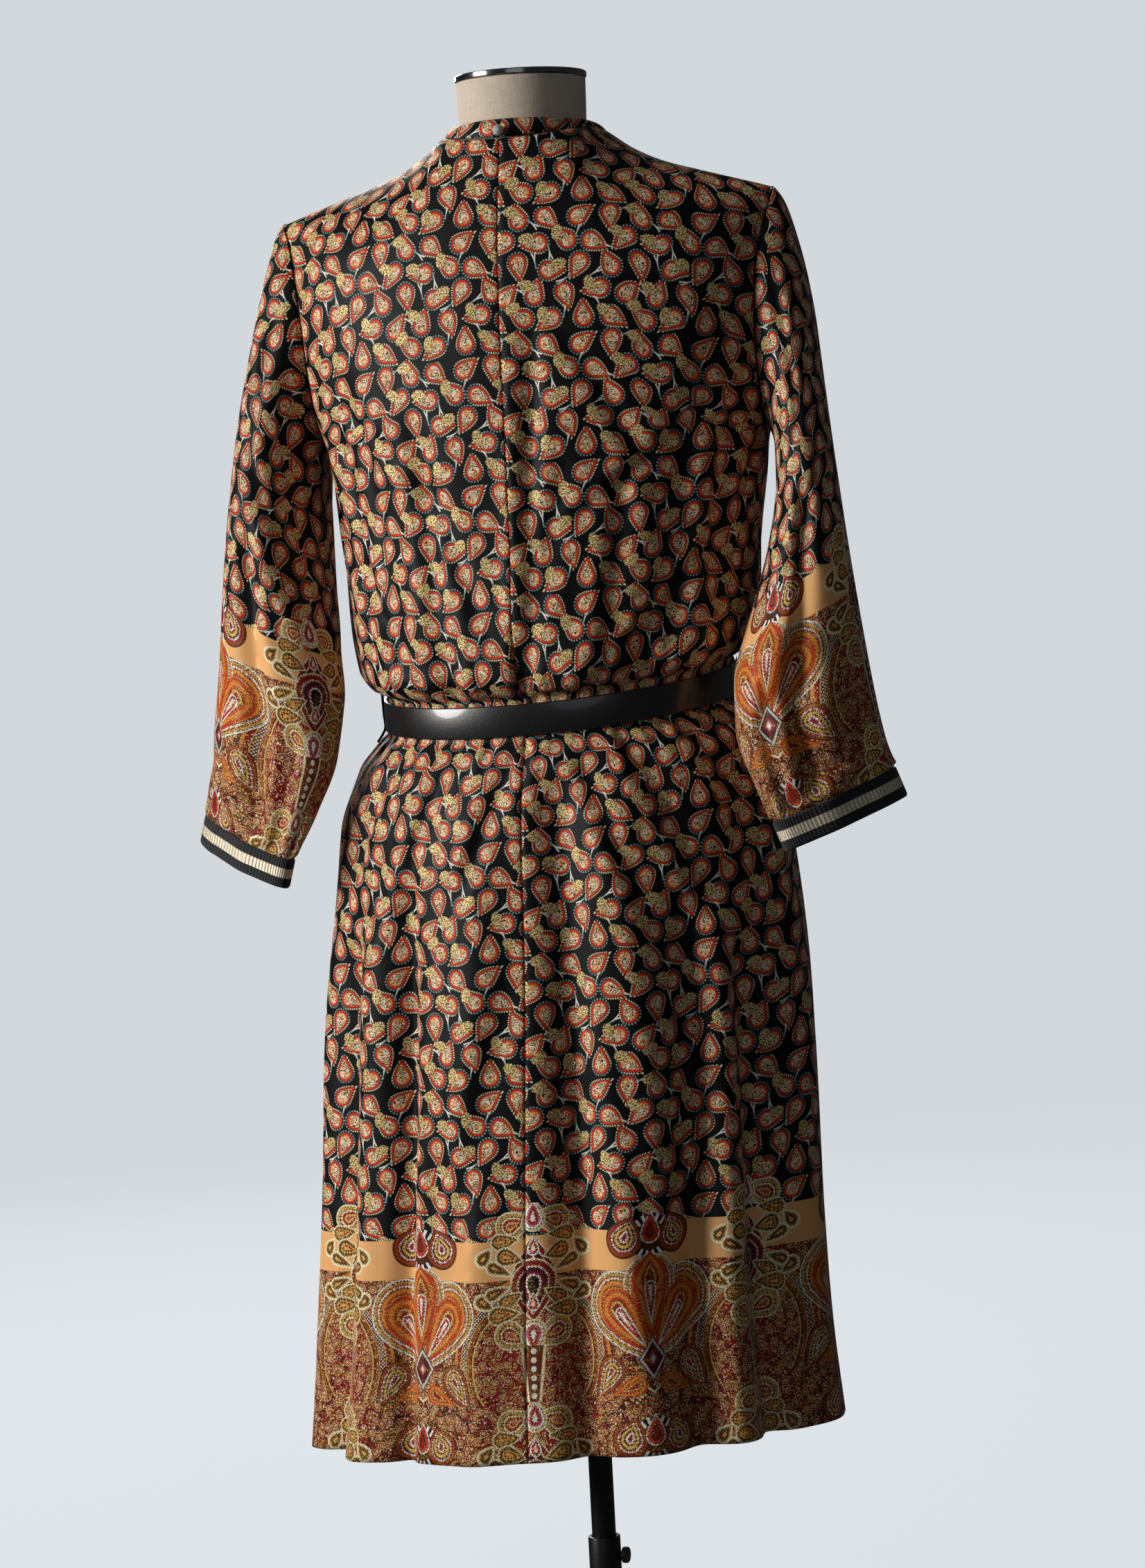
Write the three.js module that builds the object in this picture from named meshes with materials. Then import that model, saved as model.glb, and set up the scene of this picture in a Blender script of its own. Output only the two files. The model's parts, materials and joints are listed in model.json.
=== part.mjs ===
// A midi dress with three-quarter sleeves and a leather belt, worn by a limbless dress form on a pole stand.
// Millimetres, +Z up. The pole is the Z axis, the origin is under the base plate and the dress faces -Y.
// The wearer's left is +X. Angles round the body run from the centre back, positive towards +X.
import * as THREE from "three";

// ---- Driving dimensions -------------------------------------------------------------------------
const WALL = 1.4; // cloth wall
const SEAM_GAP = 0.3; // between pieces that are sewn or rest on each other
const SHOULDER_GAP = 0.6; // the shoulder seam is bent two ways, so its gap is wider
const TO_RADIANS = Math.PI / 180;

const UNDERARM_Z = 1250; // the armholes end here
const NAPE_Z = 1486; // neckband seam at the centre back
const NECK_POINT_Z = 1494; // neckband seam at the shoulder
const NECK_HOLE = 64; // radius of the neckband seam, seen from above
const NECK_AXIS_Y = 20; // the form's neck stands behind the pole axis
const SHOULDER_HALF = 205.5; // centre to shoulder tip
const SHOULDER_TIP_Z = 1436;
const SHOULDER_ROUND = 78; // how far below the shoulder line the cloth rounds over
const V_POINT_Z = 1300; // the front neckline seam meets here

const BAND_RADIUS = 56; // free edge of the neckband, seen from above
const BAND_TOP_BACK_Z = 1502;
const BAND_TOP_SIDE_Z = 1500;
const BAND_V_Z = 1358; // the free edge's point at the front

const BELT_WIDTH = 25;
const BELT_THICK = 2.4;
const BELT_LEVEL = 1044; // height of the belt's middle at the pole axis
const BELT_TAIL_ANGLE = 34; // the belt's end lies on its start over this angle
const BELT_START_ANGLE = 170;

const CUFF_HEIGHT = 25;
const CUFF_WALL = 2;

const FORM_BOTTOM_Z = 715;
const FORM_CLEAR = 0.55; // from the cloth's inside to the form at the shoulders
const NECK_RADIUS = 52;
const NECK_TOP_Z = 1536;

const ROD_RADIUS = 9.8;
const ROD_BOTTOM_Z = 150;
const TUBE_BORE = 10.4;
const TUBE_RADIUS = 11.6;
const TUBE_TOP_Z = 349;
const COLLAR_RADIUS = 13.2;
const COLLAR_TOP_Z = 352;
const COLLAR_HEIGHT = 38;
const BASE_RADIUS = 150;
const BASE_THICK = 8;
const HUB_RADIUS = 19;
const HUB_TOP_Z = 34;

// ---- Tables -------------------------------------------------------------------------------------
// Body sections below the underarm. Each is half an ellipse behind and half in front, tilted in its plane.
// level: height at the pole axis, side: half width, back and front: depths, shift: sideways,
// rise: mm up for each mm towards +X, pitch: mm up for each mm towards +Y.
const BODY_ROWS = [
  { level: 446, side: 219, back: 150, front: 142, shift: 13, rise: -0.056, pitch: 0 },
  { level: 520, side: 212, back: 146, front: 138, shift: 12, rise: -0.053, pitch: 0 },
  { level: 640, side: 205, back: 140, front: 133, shift: 8, rise: -0.05, pitch: -0.02 },
  { level: 800, side: 198, back: 134, front: 128, shift: 2, rise: -0.05, pitch: -0.05 },
  { level: 905, side: 189, back: 128, front: 124, shift: 0, rise: -0.048, pitch: -0.08 },
  { level: 960, side: 183, back: 122, front: 120, shift: 0, rise: -0.047, pitch: -0.12 },
  { level: 1000, side: 171, back: 113, front: 115, shift: 0, rise: -0.046, pitch: -0.15 },
  { level: 1022, side: 151, back: 104, front: 109, shift: 0, rise: -0.046, pitch: -0.157 },
  { level: 1029, side: 144, back: 100, front: 106, shift: 0, rise: -0.046, pitch: -0.157 },
  { level: 1060, side: 144, back: 100, front: 106, shift: 0, rise: -0.046, pitch: -0.157 },
  { level: 1066, side: 154, back: 110, front: 110, shift: 0, rise: -0.046, pitch: -0.15 },
  { level: 1080, side: 165, back: 119, front: 118, shift: 0, rise: -0.04, pitch: -0.13 },
  { level: 1115, side: 170, back: 119, front: 119, shift: 0, rise: -0.03, pitch: -0.09 },
  { level: 1170, side: 173, back: 113, front: 122, shift: 0, rise: -0.015, pitch: -0.04 },
  { level: 1250, side: 184, back: 111, front: 126, shift: 0, rise: 0, pitch: 0 },
];

// Above the underarm the depths belong to real heights.
const CHEST_ROWS = [
  { z: 1250, side: 184, back: 111, front: 126 },
  { z: 1262, side: 188.5, back: 111.4, front: 126 },
  { z: 1280, side: 194, back: 111.7, front: 126 },
  { z: 1320, side: 203, back: 111.3, front: 124 },
  { z: 1380, side: 211, back: 107, front: 116 },
  { z: 1440, side: 215, back: 98, front: 104 },
  { z: 1500, side: 216, back: 86, front: 88 },
];

// The armhole, by the share of the way from underarm to shoulder: its distance from the centre line,
// and how the columns of the back and front panels spread towards it, in degrees.
const ARMHOLE_ROWS = [
  { share: 0, out: 184, back: 90, front: 90 },
  { share: 0.06, out: 185.5, back: 78, front: 78 },
  { share: 0.15, out: 186.5, back: 69, front: 69 },
  { share: 0.35, out: 188, back: 65, front: 64 },
  { share: 0.6, out: 190.5, back: 68, front: 64 },
  { share: 0.85, out: 198, back: 72, front: 65 },
  { share: 1, out: SHOULDER_HALF, back: 74, front: 66.2 },
];

// The shoulder line, seen from behind and from above.
const SHOULDER_ROWS = [
  { out: 40, z: 1509, y: 20 },
  { out: NECK_HOLE, z: NECK_POINT_Z, y: 20 },
  { out: 90, z: 1476, y: 22 },
  { out: 115, z: 1464, y: 24 },
  { out: 143, z: 1455, y: 26 },
  { out: 176, z: 1445, y: 28 },
  { out: SHOULDER_HALF, z: SHOULDER_TIP_Z, y: 29 },
  { out: 230, z: 1428, y: 30 },
];

// Folds of the skirt and the pouch: the angle at the top and bottom of the fold, its top and bottom,
// how deep it is (a ridge is negative) and its half width along the cloth.
const FOLDS = [
  { from: -9, to: -13, top: 1010, bottom: 430, depth: 9, wide: 17 },
  { from: -24, to: -27, top: 1000, bottom: 430, depth: -5, wide: 24 },
  { from: 14, to: 11, top: 1000, bottom: 430, depth: -4, wide: 22 },
  { from: 33, to: 31, top: 930, bottom: 430, depth: 7, wide: 11 },
  { from: 44, to: 45, top: 900, bottom: 430, depth: -5, wide: 22 },
  { from: 57, to: 60, top: 880, bottom: 430, depth: 8, wide: 14 },
  { from: 74, to: 76, top: 1000, bottom: 430, depth: -6, wide: 24 },
  { from: -40, to: -38, top: 900, bottom: 430, depth: 7, wide: 15 },
  { from: -49, to: -48, top: 900, bottom: 430, depth: -5, wide: 18 },
  { from: -56, to: -58, top: 860, bottom: 430, depth: 9, wide: 13 },
  { from: -76, to: -78, top: 1000, bottom: 430, depth: -5, wide: 26 },
  { from: 108, to: 110, top: 980, bottom: 430, depth: 7, wide: 18 },
  { from: 132, to: 128, top: 1000, bottom: 430, depth: -6, wide: 26 },
  { from: 152, to: 150, top: 960, bottom: 430, depth: 8, wide: 18 },
  { from: 171, to: 173, top: 1000, bottom: 430, depth: -5, wide: 24 },
  { from: -170, to: -168, top: 990, bottom: 430, depth: 7, wide: 20 },
  { from: -148, to: -146, top: 1000, bottom: 430, depth: -6, wide: 26 },
  { from: -127, to: -125, top: 960, bottom: 430, depth: 8, wide: 18 },
  { from: -104, to: -106, top: 980, bottom: 430, depth: 6, wide: 18 },
  { from: -3, to: -2, top: 1120, bottom: 1058, depth: 7, wide: 9 },
  { from: -20, to: -18, top: 1130, bottom: 1058, depth: -5, wide: 18 },
  { from: -38, to: -36, top: 1140, bottom: 1058, depth: 5, wide: 12 },
  { from: -58, to: -55, top: 1150, bottom: 1058, depth: -5, wide: 18 },
  { from: 26, to: 20, top: 1130, bottom: 1058, depth: 5, wide: 12 },
  { from: 47, to: 42, top: 1150, bottom: 1058, depth: -4, wide: 18 },
  { from: 48, to: 40, top: 1330, bottom: 1080, depth: 4, wide: 14 },
  { from: -50, to: -44, top: 1320, bottom: 1080, depth: 4, wide: 14 },
  { from: 140, to: 146, top: 1150, bottom: 1058, depth: 5, wide: 14 },
  { from: -140, to: -146, top: 1150, bottom: 1058, depth: 5, wide: 14 },
];
const FOLD_FADE = 46; // a fold grows over this height below its top
const GATHERS_BACK = 34; // small gathers under and over the belt, in a full turn
const GATHERS_FRONT = 24;
const GATHER_DEPTH = 1.6;
const GATHER_REACH = 34;

// Sleeve rings: the outer and inner ends, the ring's middle from front to back, its half depth,
// the turn of its long axis towards the front, and how far it has left the armhole's own shape.
const SLEEVE_ROWS = [
  { outerX: 205.5, outerZ: 1436, innerX: 184, innerZ: 1250, y: -2, half: 53, turn: 0, free: 0 },
  { outerX: 214, outerZ: 1425, innerX: 186, innerZ: 1246, y: -1, half: 54, turn: 0, free: 0.2 },
  { outerX: 223, outerZ: 1404, innerX: 189, innerZ: 1238, y: 1, half: 55, turn: 2, free: 0.45 },
  { outerX: 233, outerZ: 1370, innerX: 191, innerZ: 1222, y: 5, half: 55, turn: 4, free: 0.75 },
  { outerX: 242, outerZ: 1325, innerX: 191, innerZ: 1198, y: 11, half: 54, turn: 7, free: 1 },
  { outerX: 251, outerZ: 1270, innerX: 187, innerZ: 1166, y: 20, half: 52, turn: 11, free: 1 },
  { outerX: 260, outerZ: 1208, innerX: 180, innerZ: 1128, y: 30, half: 49, turn: 16, free: 1 },
  { outerX: 269, outerZ: 1144, innerX: 170, innerZ: 1088, y: 39, half: 45, turn: 21, free: 1 },
  { outerX: 278, outerZ: 1084, innerX: 161, innerZ: 1046, y: 47, half: 41, turn: 24, free: 1 },
  { outerX: 286, outerZ: 1032, innerX: 163, innerZ: 1004, y: 53, half: 36, turn: 26, free: 1 },
  { outerX: 292, outerZ: 996, innerX: 177, innerZ: 965, y: 56, half: 28, turn: 27, free: 1 },
  { outerX: 295, outerZ: 976, innerX: 189, innerZ: 941, y: 58, half: 20, turn: 27, free: 1 },
  { outerX: 296, outerZ: 967, innerX: 196, innerZ: 929, y: 59, half: 15, turn: 27, free: 1 },
];
// Each sleeve hangs a little differently: how much further out lie the outside and the inside of its
// elbow and its cuff, and how much higher the cuff.
const SLEEVE_HANG = {
  left: { side: 1, outside: 0, inside: 0, cuff: 6, lift: -8 },
  right: { side: -1, outside: -13, inside: 3, cuff: -9, lift: 10 },
};
// Soft creases of a sleeve: place along it (0 armhole, 1 cuff), angle round it (0 outside, 90 behind),
// depth, half length round it in degrees and half width along it.
const SLEEVE_CREASES = [
  { along: 0.42, round: 125, depth: 5, reach: 38, wide: 0.035 },
  { along: 0.58, round: 140, depth: 6, reach: 42, wide: 0.035 },
  { along: 0.72, round: 120, depth: 5, reach: 46, wide: 0.03 },
  { along: 0.62, round: -110, depth: 5, reach: 40, wide: 0.04 },
  { along: 0.8, round: 30, depth: 4, reach: 40, wide: 0.03 },
];
const CUFF_GATHERS = 12;
const CUFF_GATHER_DEPTH = 2.2;

// Columns and rows of the walls.
const BACK_STEPS = 17; // from the centre back to the side
const FRONT_STEPS = 12;
const FRONT_NECK_COLUMN = 0.25; // this column of the front ends at the side of the neck
const FRONT_NECK_COLUMNS = [0.2, 0.223, 0.24]; // more of them where the neckline rounds over the shoulder
const LEVELS = [
  446, 480, 530, 590, 655, 725, 800, 865, 920, 962, 990, 1008, 1021, 1029, 1060, 1066, 1076, 1092,
  1118, 1160, 1205,
];
const SHARES = [0, 0.07, 0.18, 0.34, 0.52, 0.69, 0.83, 0.93, 0.98, 0.995, 1];

// Colours.
const INK_CLOTH = 0x1b1a20;
const RIB_BLACK = 0x121214;
const BELT_BLACK = 0x0c0c0d;
const LINEN = 0xb9a58e;
const CHROME = 0x8d8f94;
const BLACK_METAL = 0x1c1d1f;
const SILVER = 0xc9cbd0;

// ---- Small helpers ------------------------------------------------------------------------------
const point = (x, y, z) => new THREE.Vector3(x, y, z);
const clamp01 = (value) => Math.min(1, Math.max(0, value));
const smooth = (value) => {
  const t = clamp01(value);
  return t * t * (3 - 2 * t);
};

// A smooth curve through a table's column that never overshoots its rows.
function column(rows, key, name) {
  const at = rows.map((row) => row[key]);
  const values = rows.map((row) => row[name]);
  const last = at.length - 1;
  const slopes = values.slice(1).map((value, i) => (value - values[i]) / (at[i + 1] - at[i]));
  const tangents = values.map((_, i) => {
    if (i === 0) return slopes[0];
    if (i === last) return slopes[last - 1];
    const product = slopes[i - 1] * slopes[i];
    return product <= 0 ? 0 : (2 * product) / (slopes[i - 1] + slopes[i]);
  });
  return (where) => {
    const x = Math.min(at[last], Math.max(at[0], where));
    let i = 0;
    while (i < last - 1 && x > at[i + 1]) i += 1;
    const step = at[i + 1] - at[i];
    const t = (x - at[i]) / step;
    const bend = t * t * (3 - 2 * t);
    return (
      values[i] * (1 - bend) +
      values[i + 1] * bend +
      step * t * (1 - t) * ((1 - t) * tangents[i] - t * tangents[i + 1])
    );
  };
}

const body = Object.fromEntries(
  ["side", "back", "front", "shift", "rise", "pitch"].map((name) => [name, column(BODY_ROWS, "level", name)]),
);
const chest = Object.fromEntries(["side", "back", "front"].map((name) => [name, column(CHEST_ROWS, "z", name)]));
const armholeOut = column(ARMHOLE_ROWS, "share", "out");
const armholeSpread = { back: column(ARMHOLE_ROWS, "share", "back"), front: column(ARMHOLE_ROWS, "share", "front") };
const shoulderZ = column(SHOULDER_ROWS, "out", "z");
const shoulderY = column(SHOULDER_ROWS, "out", "y");

// A closed shell between an outer and an inner grid of points, open at its ends unless it goes round.
function shell(outer, inner, goesRound) {
  const rows = outer.length;
  const columns = outer[0].length;
  const positions = [];
  const index = [];
  for (const grid of [outer, inner]) {
    for (const row of grid) for (const p of row) positions.push(p.x, p.y, p.z);
  }
  const id = (layer, i, j) => layer * rows * columns + i * columns + (j % columns);
  const quad = (a, b, c, d) => index.push(a, b, c, a, c, d);
  const spans = goesRound ? columns : columns - 1;
  for (let i = 0; i < rows - 1; i += 1) {
    for (let j = 0; j < spans; j += 1) {
      quad(id(0, i, j), id(0, i, j + 1), id(0, i + 1, j + 1), id(0, i + 1, j));
      quad(id(1, i, j), id(1, i + 1, j), id(1, i + 1, j + 1), id(1, i, j + 1));
    }
  }
  for (let j = 0; j < spans; j += 1) {
    quad(id(0, 0, j), id(1, 0, j), id(1, 0, j + 1), id(0, 0, j + 1));
    quad(id(0, rows - 1, j), id(0, rows - 1, j + 1), id(1, rows - 1, j + 1), id(1, rows - 1, j));
  }
  if (!goesRound) {
    for (let i = 0; i < rows - 1; i += 1) {
      quad(id(0, i, 0), id(0, i + 1, 0), id(1, i + 1, 0), id(1, i, 0));
      quad(id(0, i, columns - 1), id(1, i, columns - 1), id(1, i + 1, columns - 1), id(0, i + 1, columns - 1));
    }
  }
  const geometry = new THREE.BufferGeometry();
  geometry.setAttribute("position", new THREE.Float32BufferAttribute(positions, 3));
  geometry.setIndex(index);
  return facingOut(geometry);
}

// Six times the volume inside a mesh is positive when its faces point out; otherwise they are turned.
function facingOut(geometry) {
  const at = geometry.getAttribute("position");
  const index = Array.from(geometry.index.array);
  let volume = 0;
  for (let i = 0; i < index.length; i += 3) {
    const [a, b, c] = [0, 1, 2].map((k) => new THREE.Vector3().fromBufferAttribute(at, index[i + k]));
    volume += a.dot(b.cross(c));
  }
  if (volume < 0) {
    for (let i = 0; i < index.length; i += 3) [index[i + 1], index[i + 2]] = [index[i + 2], index[i + 1]];
    geometry.setIndex(index);
  }
  geometry.computeVertexNormals();
  return geometry;
}

function finish(color, roughness, metalness) {
  return new THREE.MeshStandardMaterial({ color, roughness, metalness, side: THREE.DoubleSide });
}

function named(name, geometry, material) {
  const mesh = new THREE.Mesh(geometry, material);
  mesh.name = name;
  return mesh;
}

// ---- The body's cloth surface -------------------------------------------------------------------
// How deep the folds are at an angle and a level, measured inwards.
function foldDepth(degrees, level, arcPerDegree) {
  let depth = 0;
  for (const fold of FOLDS) {
    const share = clamp01((fold.top - level) / (fold.top - fold.bottom));
    const middle = fold.from + (fold.to - fold.from) * share;
    const away = ((((degrees - middle) % 360) + 540) % 360) - 180;
    const distance = (away * arcPerDegree) / fold.wide;
    const ends = smooth((fold.top - level) / FOLD_FADE) * smooth((level - fold.bottom) / 12);
    depth += fold.depth * ends * Math.exp(-distance * distance);
  }
  const fromBelt = Math.abs(level - BELT_LEVEL) - BELT_WIDTH / 2;
  const gather = smooth((fromBelt - 3) / 8) * smooth(1 - fromBelt / GATHER_REACH);
  const count = Math.cos(degrees * TO_RADIANS) > 0 ? GATHERS_BACK : GATHERS_FRONT;
  return depth + GATHER_DEPTH * gather * Math.cos(count * degrees * TO_RADIANS);
}

// A point of the cloth below the underarm, from its angle and the level of its tilted section.
function lowerPoint(degrees, level) {
  const angle = degrees * TO_RADIANS;
  const [sine, cosine] = [Math.sin(angle), Math.cos(angle)];
  const side = body.side(level);
  const depth = cosine >= 0 ? body.back(level) : body.front(level);
  const arcPerDegree = Math.hypot(side * cosine, depth * sine) * TO_RADIANS;
  const inward = foldDepth(degrees, level, arcPerDegree);
  const normal = new THREE.Vector2(sine / side, cosine / depth).normalize();
  const x = body.shift(level) + side * sine - normal.x * inward;
  const y = depth * cosine - normal.y * inward;
  return point(x, y, level + body.rise(level) * x + body.pitch(level) * y);
}

// The depth of the cloth above the underarm, from its place across and its height.
// facing is 1 behind and -1 in front.
function upperDepth(x, z, facing) {
  const out = Math.abs(x);
  const full = (facing > 0 ? chest.back(z) : -chest.front(z)) * Math.sqrt(Math.max(0, 1 - (out / chest.side(z)) ** 2));
  const nape = facing > 0 && out < NECK_HOLE;
  const edge = nape ? NECK_AXIS_Y + Math.sqrt(NECK_HOLE ** 2 - out ** 2) : shoulderY(out);
  const below = clamp01(((nape ? napeZ(out) : shoulderZ(out)) - z) / SHOULDER_ROUND);
  return edge + (full - edge) * Math.sqrt(1 - (1 - below) ** 2);
}

const napeZ = (out) => NAPE_Z + (NECK_POINT_Z - NAPE_Z) * (out / NECK_HOLE) ** 2;

// The top edge of a panel: the neckline seam and then the shoulder line.
function topZ(out, facing) {
  if (out >= NECK_HOLE) return shoulderZ(out);
  return facing > 0 ? napeZ(out) : V_POINT_Z + (NECK_POINT_Z - V_POINT_Z) * (out / NECK_HOLE);
}

// A point of the cloth above the underarm: across runs from -1 to 1 between the armholes,
// share from 0 at the underarm to 1 at the top edge.
function upperPoint(across, share, facing) {
  const spread = armholeSpread[facing > 0 ? "back" : "front"](share) * TO_RADIANS;
  const x = (armholeOut(share) * Math.sin(across * spread)) / Math.sin(spread);
  const z = UNDERARM_Z + (topZ(Math.abs(x), facing) - UNDERARM_Z) * share;
  const side = chest.side(z);
  const sine = Math.min(1, Math.max(-1, x / side));
  const degrees = Math.asin(sine) / TO_RADIANS;
  const depth = facing > 0 ? chest.back(z) : chest.front(z);
  const arcPerDegree = Math.hypot(side * Math.sqrt(1 - sine * sine), depth * sine) * TO_RADIANS;
  const inward = foldDepth(facing > 0 ? degrees : 180 - degrees, z, arcPerDegree) * (1 - share);
  return point(x, upperDepth(x, z, facing) - facing * inward, z);
}

// One surface for both stretches: row runs from 0 at the hem to 1 at the underarm and 2 at the top.
function clothPoint(across, row, facing) {
  if (row > 1) return upperPoint(across, Math.min(1, row - 1), facing);
  const level = BODY_ROWS[0].level + (UNDERARM_Z - BODY_ROWS[0].level) * row;
  const quarter = across * 90;
  return lowerPoint(facing > 0 ? quarter : 180 - quarter, level);
}

const LEVEL_ROWS = LEVELS.map((level) => (level - BODY_ROWS[0].level) / (UNDERARM_Z - BODY_ROWS[0].level));
const BODY_GRID_ROWS = [...LEVEL_ROWS, ...SHARES.map((share) => 1 + share)];

function clothNormal(across, row, facing) {
  const step = 0.004;
  const over = clothPoint(across + step, row, facing).sub(clothPoint(across - step, row, facing));
  const up = clothPoint(across, Math.min(2, row + step), facing).sub(clothPoint(across, row - step, facing));
  const normal = over.cross(up).multiplyScalar(-facing);
  // At the shoulder seam both panels share one normal, square to the line in which they meet.
  if (row === 2 && Math.abs(clothPoint(across, row, facing).x) > NECK_HOLE - 1) normal.setY(0);
  return normal.normalize();
}

// Keeps the inside of a wall on its own side of the shoulder seam.
function onOwnSide(p, facing) {
  const out = Math.abs(p.x);
  if (out < NECK_HOLE || p.z < SHOULDER_TIP_Z - WALL * 10) return p;
  const ridge = shoulderY(out);
  return p.setY(ridge + facing * Math.max(SHOULDER_GAP / 2, facing * (p.y - ridge)));
}

// A panel between two places across, pulled in by half a seam gap at its edges.
function panel(columns, facing) {
  const low = Math.min(...columns);
  const high = Math.max(...columns);
  const quarterHem = 290;
  const trim = SEAM_GAP / quarterHem;
  const outer = [];
  const inner = [];
  for (const row of BODY_GRID_ROWS) {
    const apart = point(0, row === 2 ? (facing * SHOULDER_GAP) / 2 : 0, 0);
    const line = columns.map((across) => {
      const more = Math.abs(across) === 1 && row > 1 ? 2 : 1;
      const inset = across === low ? trim * more : across === high ? -trim * more : 0;
      return [across + inset, row];
    });
    const place = ([across, at]) => clothPoint(across, at, facing).add(apart);
    outer.push(line.map(place));
    const inside = (at) => place(at).addScaledVector(clothNormal(...at, facing), -WALL);
    inner.push(line.map((at) => onOwnSide(inside(at), facing)));
  }
  return shell(outer, inner, false);
}

const steps = (count) => Array.from({ length: count + 1 }, (_, i) => i / count);
const mirrored = (columns) => columns.map((value) => -value).reverse();
const frontHalf = [...steps(FRONT_STEPS), ...FRONT_NECK_COLUMNS].sort((a, b) => a - b);

function bodyPanels(material) {
  const half = steps(BACK_STEPS);
  return [
    named("back_left", panel(half, 1), material),
    named("back_right", panel(mirrored(half), 1), material),
    named("front", panel([...mirrored(frontHalf).slice(0, -1), ...frontHalf], -1), material),
  ];
}

// ---- Neckband -----------------------------------------------------------------------------------
const BAND_BACK_STEPS = 7;
const BAND_CLEAR = 2; // the band turns at an angle to the panels, so its wall starts a little further off

// Seam edge and free edge of the band at one place: half runs from 0 at the nape to 1 at the side of
// the neck and 2 at the point of the V.
function bandEdges(half) {
  if (half <= 1) {
    const angle = half * 90 * TO_RADIANS;
    const [sine, cosine] = [Math.sin(angle), Math.cos(angle)];
    const rise = BAND_TOP_BACK_Z + (BAND_TOP_SIDE_Z - BAND_TOP_BACK_Z) * half ** 2;
    return [
      point(NECK_HOLE * sine, NECK_AXIS_Y + NECK_HOLE * cosine, napeZ(NECK_HOLE * sine)),
      point(BAND_RADIUS * sine, NECK_AXIS_Y + BAND_RADIUS * cosine, rise),
    ];
  }
  const share = half - 1;
  const seamX = NECK_HOLE * (1 - share);
  const seamZ = V_POINT_Z + (NECK_POINT_Z - V_POINT_Z) * (1 - share);
  const freeX = BAND_RADIUS * (1 - share);
  const freeZ = BAND_V_Z + (BAND_TOP_SIDE_Z - BAND_V_Z) * (1 - share);
  const seamY = upperDepth(seamX, seamZ, -1);
  const reach = 0.85 + 0.15 * smooth(share / 0.3); // the free edge stays a little behind the seam
  const freeY = NECK_AXIS_Y + (seamY + 2 * smooth(share / 0.1) - NECK_AXIS_Y) * reach;
  return [point(seamX, seamY, seamZ), point(freeX, freeY, freeZ)];
}

function bandLoop() {
  const halves = [];
  for (let i = 0; i <= BAND_BACK_STEPS; i += 1) halves.push(i / BAND_BACK_STEPS);
  for (const across of frontHalf.filter((value) => value < FRONT_NECK_COLUMN).reverse()) {
    halves.push(2 - upperPoint(across, 1, -1).x / NECK_HOLE);
  }
  const left = halves.map((half) => bandEdges(half));
  const mirror = (p) => p.clone().setX(-p.x);
  const right = left.slice(1, -1).reverse().map((edges) => edges.map(mirror));
  return [...left, ...right].map(([seam, free]) => {
    const across = free.clone().sub(seam).normalize();
    const start = seam.clone().addScaledVector(across, BAND_CLEAR);
    return [start, start.clone().lerp(free, 0.5), free];
  });
}

// The band's wall lies square to its own surface, on the side of the neck.
function neckband(material) {
  const loop = bandLoop();
  const next = (j, step) => loop[(j + step + loop.length) % loop.length];
  const inside = loop.map((edge, j) =>
    edge.map((p, k) => {
      const along = next(j, 1)[k].clone().sub(next(j, -1)[k]);
      const normal = along.cross(edge[2].clone().sub(edge[0])).normalize();
      const away = point(p.x, p.y - NECK_AXIS_Y, 0);
      if (normal.dot(away) < 0) normal.negate();
      return p.clone().addScaledVector(normal, -WALL);
    }),
  );
  const lines = (edges) => [0, 1, 2].map((k) => edges.map((edge) => edge[k]));
  return named("neckband", shell(lines(loop), lines(inside), true), material);
}

function napeButton(material) {
  const radius = 4.5;
  const ball = new THREE.SphereGeometry(radius, 14, 9);
  const [seam, free] = bandEdges(0);
  const middle = seam.clone().lerp(free, 0.35);
  ball.translate(0, middle.y + radius + SEAM_GAP + 0.6, middle.z);
  return named("nape_button", ball, material);
}

// ---- Sleeves ------------------------------------------------------------------------------------
const sleeveTable = Object.fromEntries(
  ["outerX", "outerZ", "innerX", "innerZ", "y", "half", "turn", "free"].map((name) => [
    name,
    column(SLEEVE_ROWS.map((row, i) => ({ ...row, along: i / (SLEEVE_ROWS.length - 1) })), "along", name),
  ]),
);
const SLEEVE_ALONG = [0, 0.06, 0.13, 0.21, 0.3, 0.38, 0.46, 0.54, 0.61, 0.68, 0.75, 0.82, 0.88, 0.94, 1];

// The angles round a sleeve that meet the rows of the panels' armhole edges.
const RING_ANGLES = [
  ...[...SHARES].reverse().map((share) => Math.acos(2 * share - 1)),
  ...SHARES.slice(1, -1).map((share) => 2 * Math.PI - Math.acos(2 * share - 1)),
];

// The armhole seam at an angle: 0 at the shoulder tip, a half turn at the underarm, the back first.
function armholePoint(angle) {
  const share = (1 + Math.cos(angle)) / 2;
  return clothPoint(1, 1 + Math.min(1, share), angle <= Math.PI ? 1 : -1);
}

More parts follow.
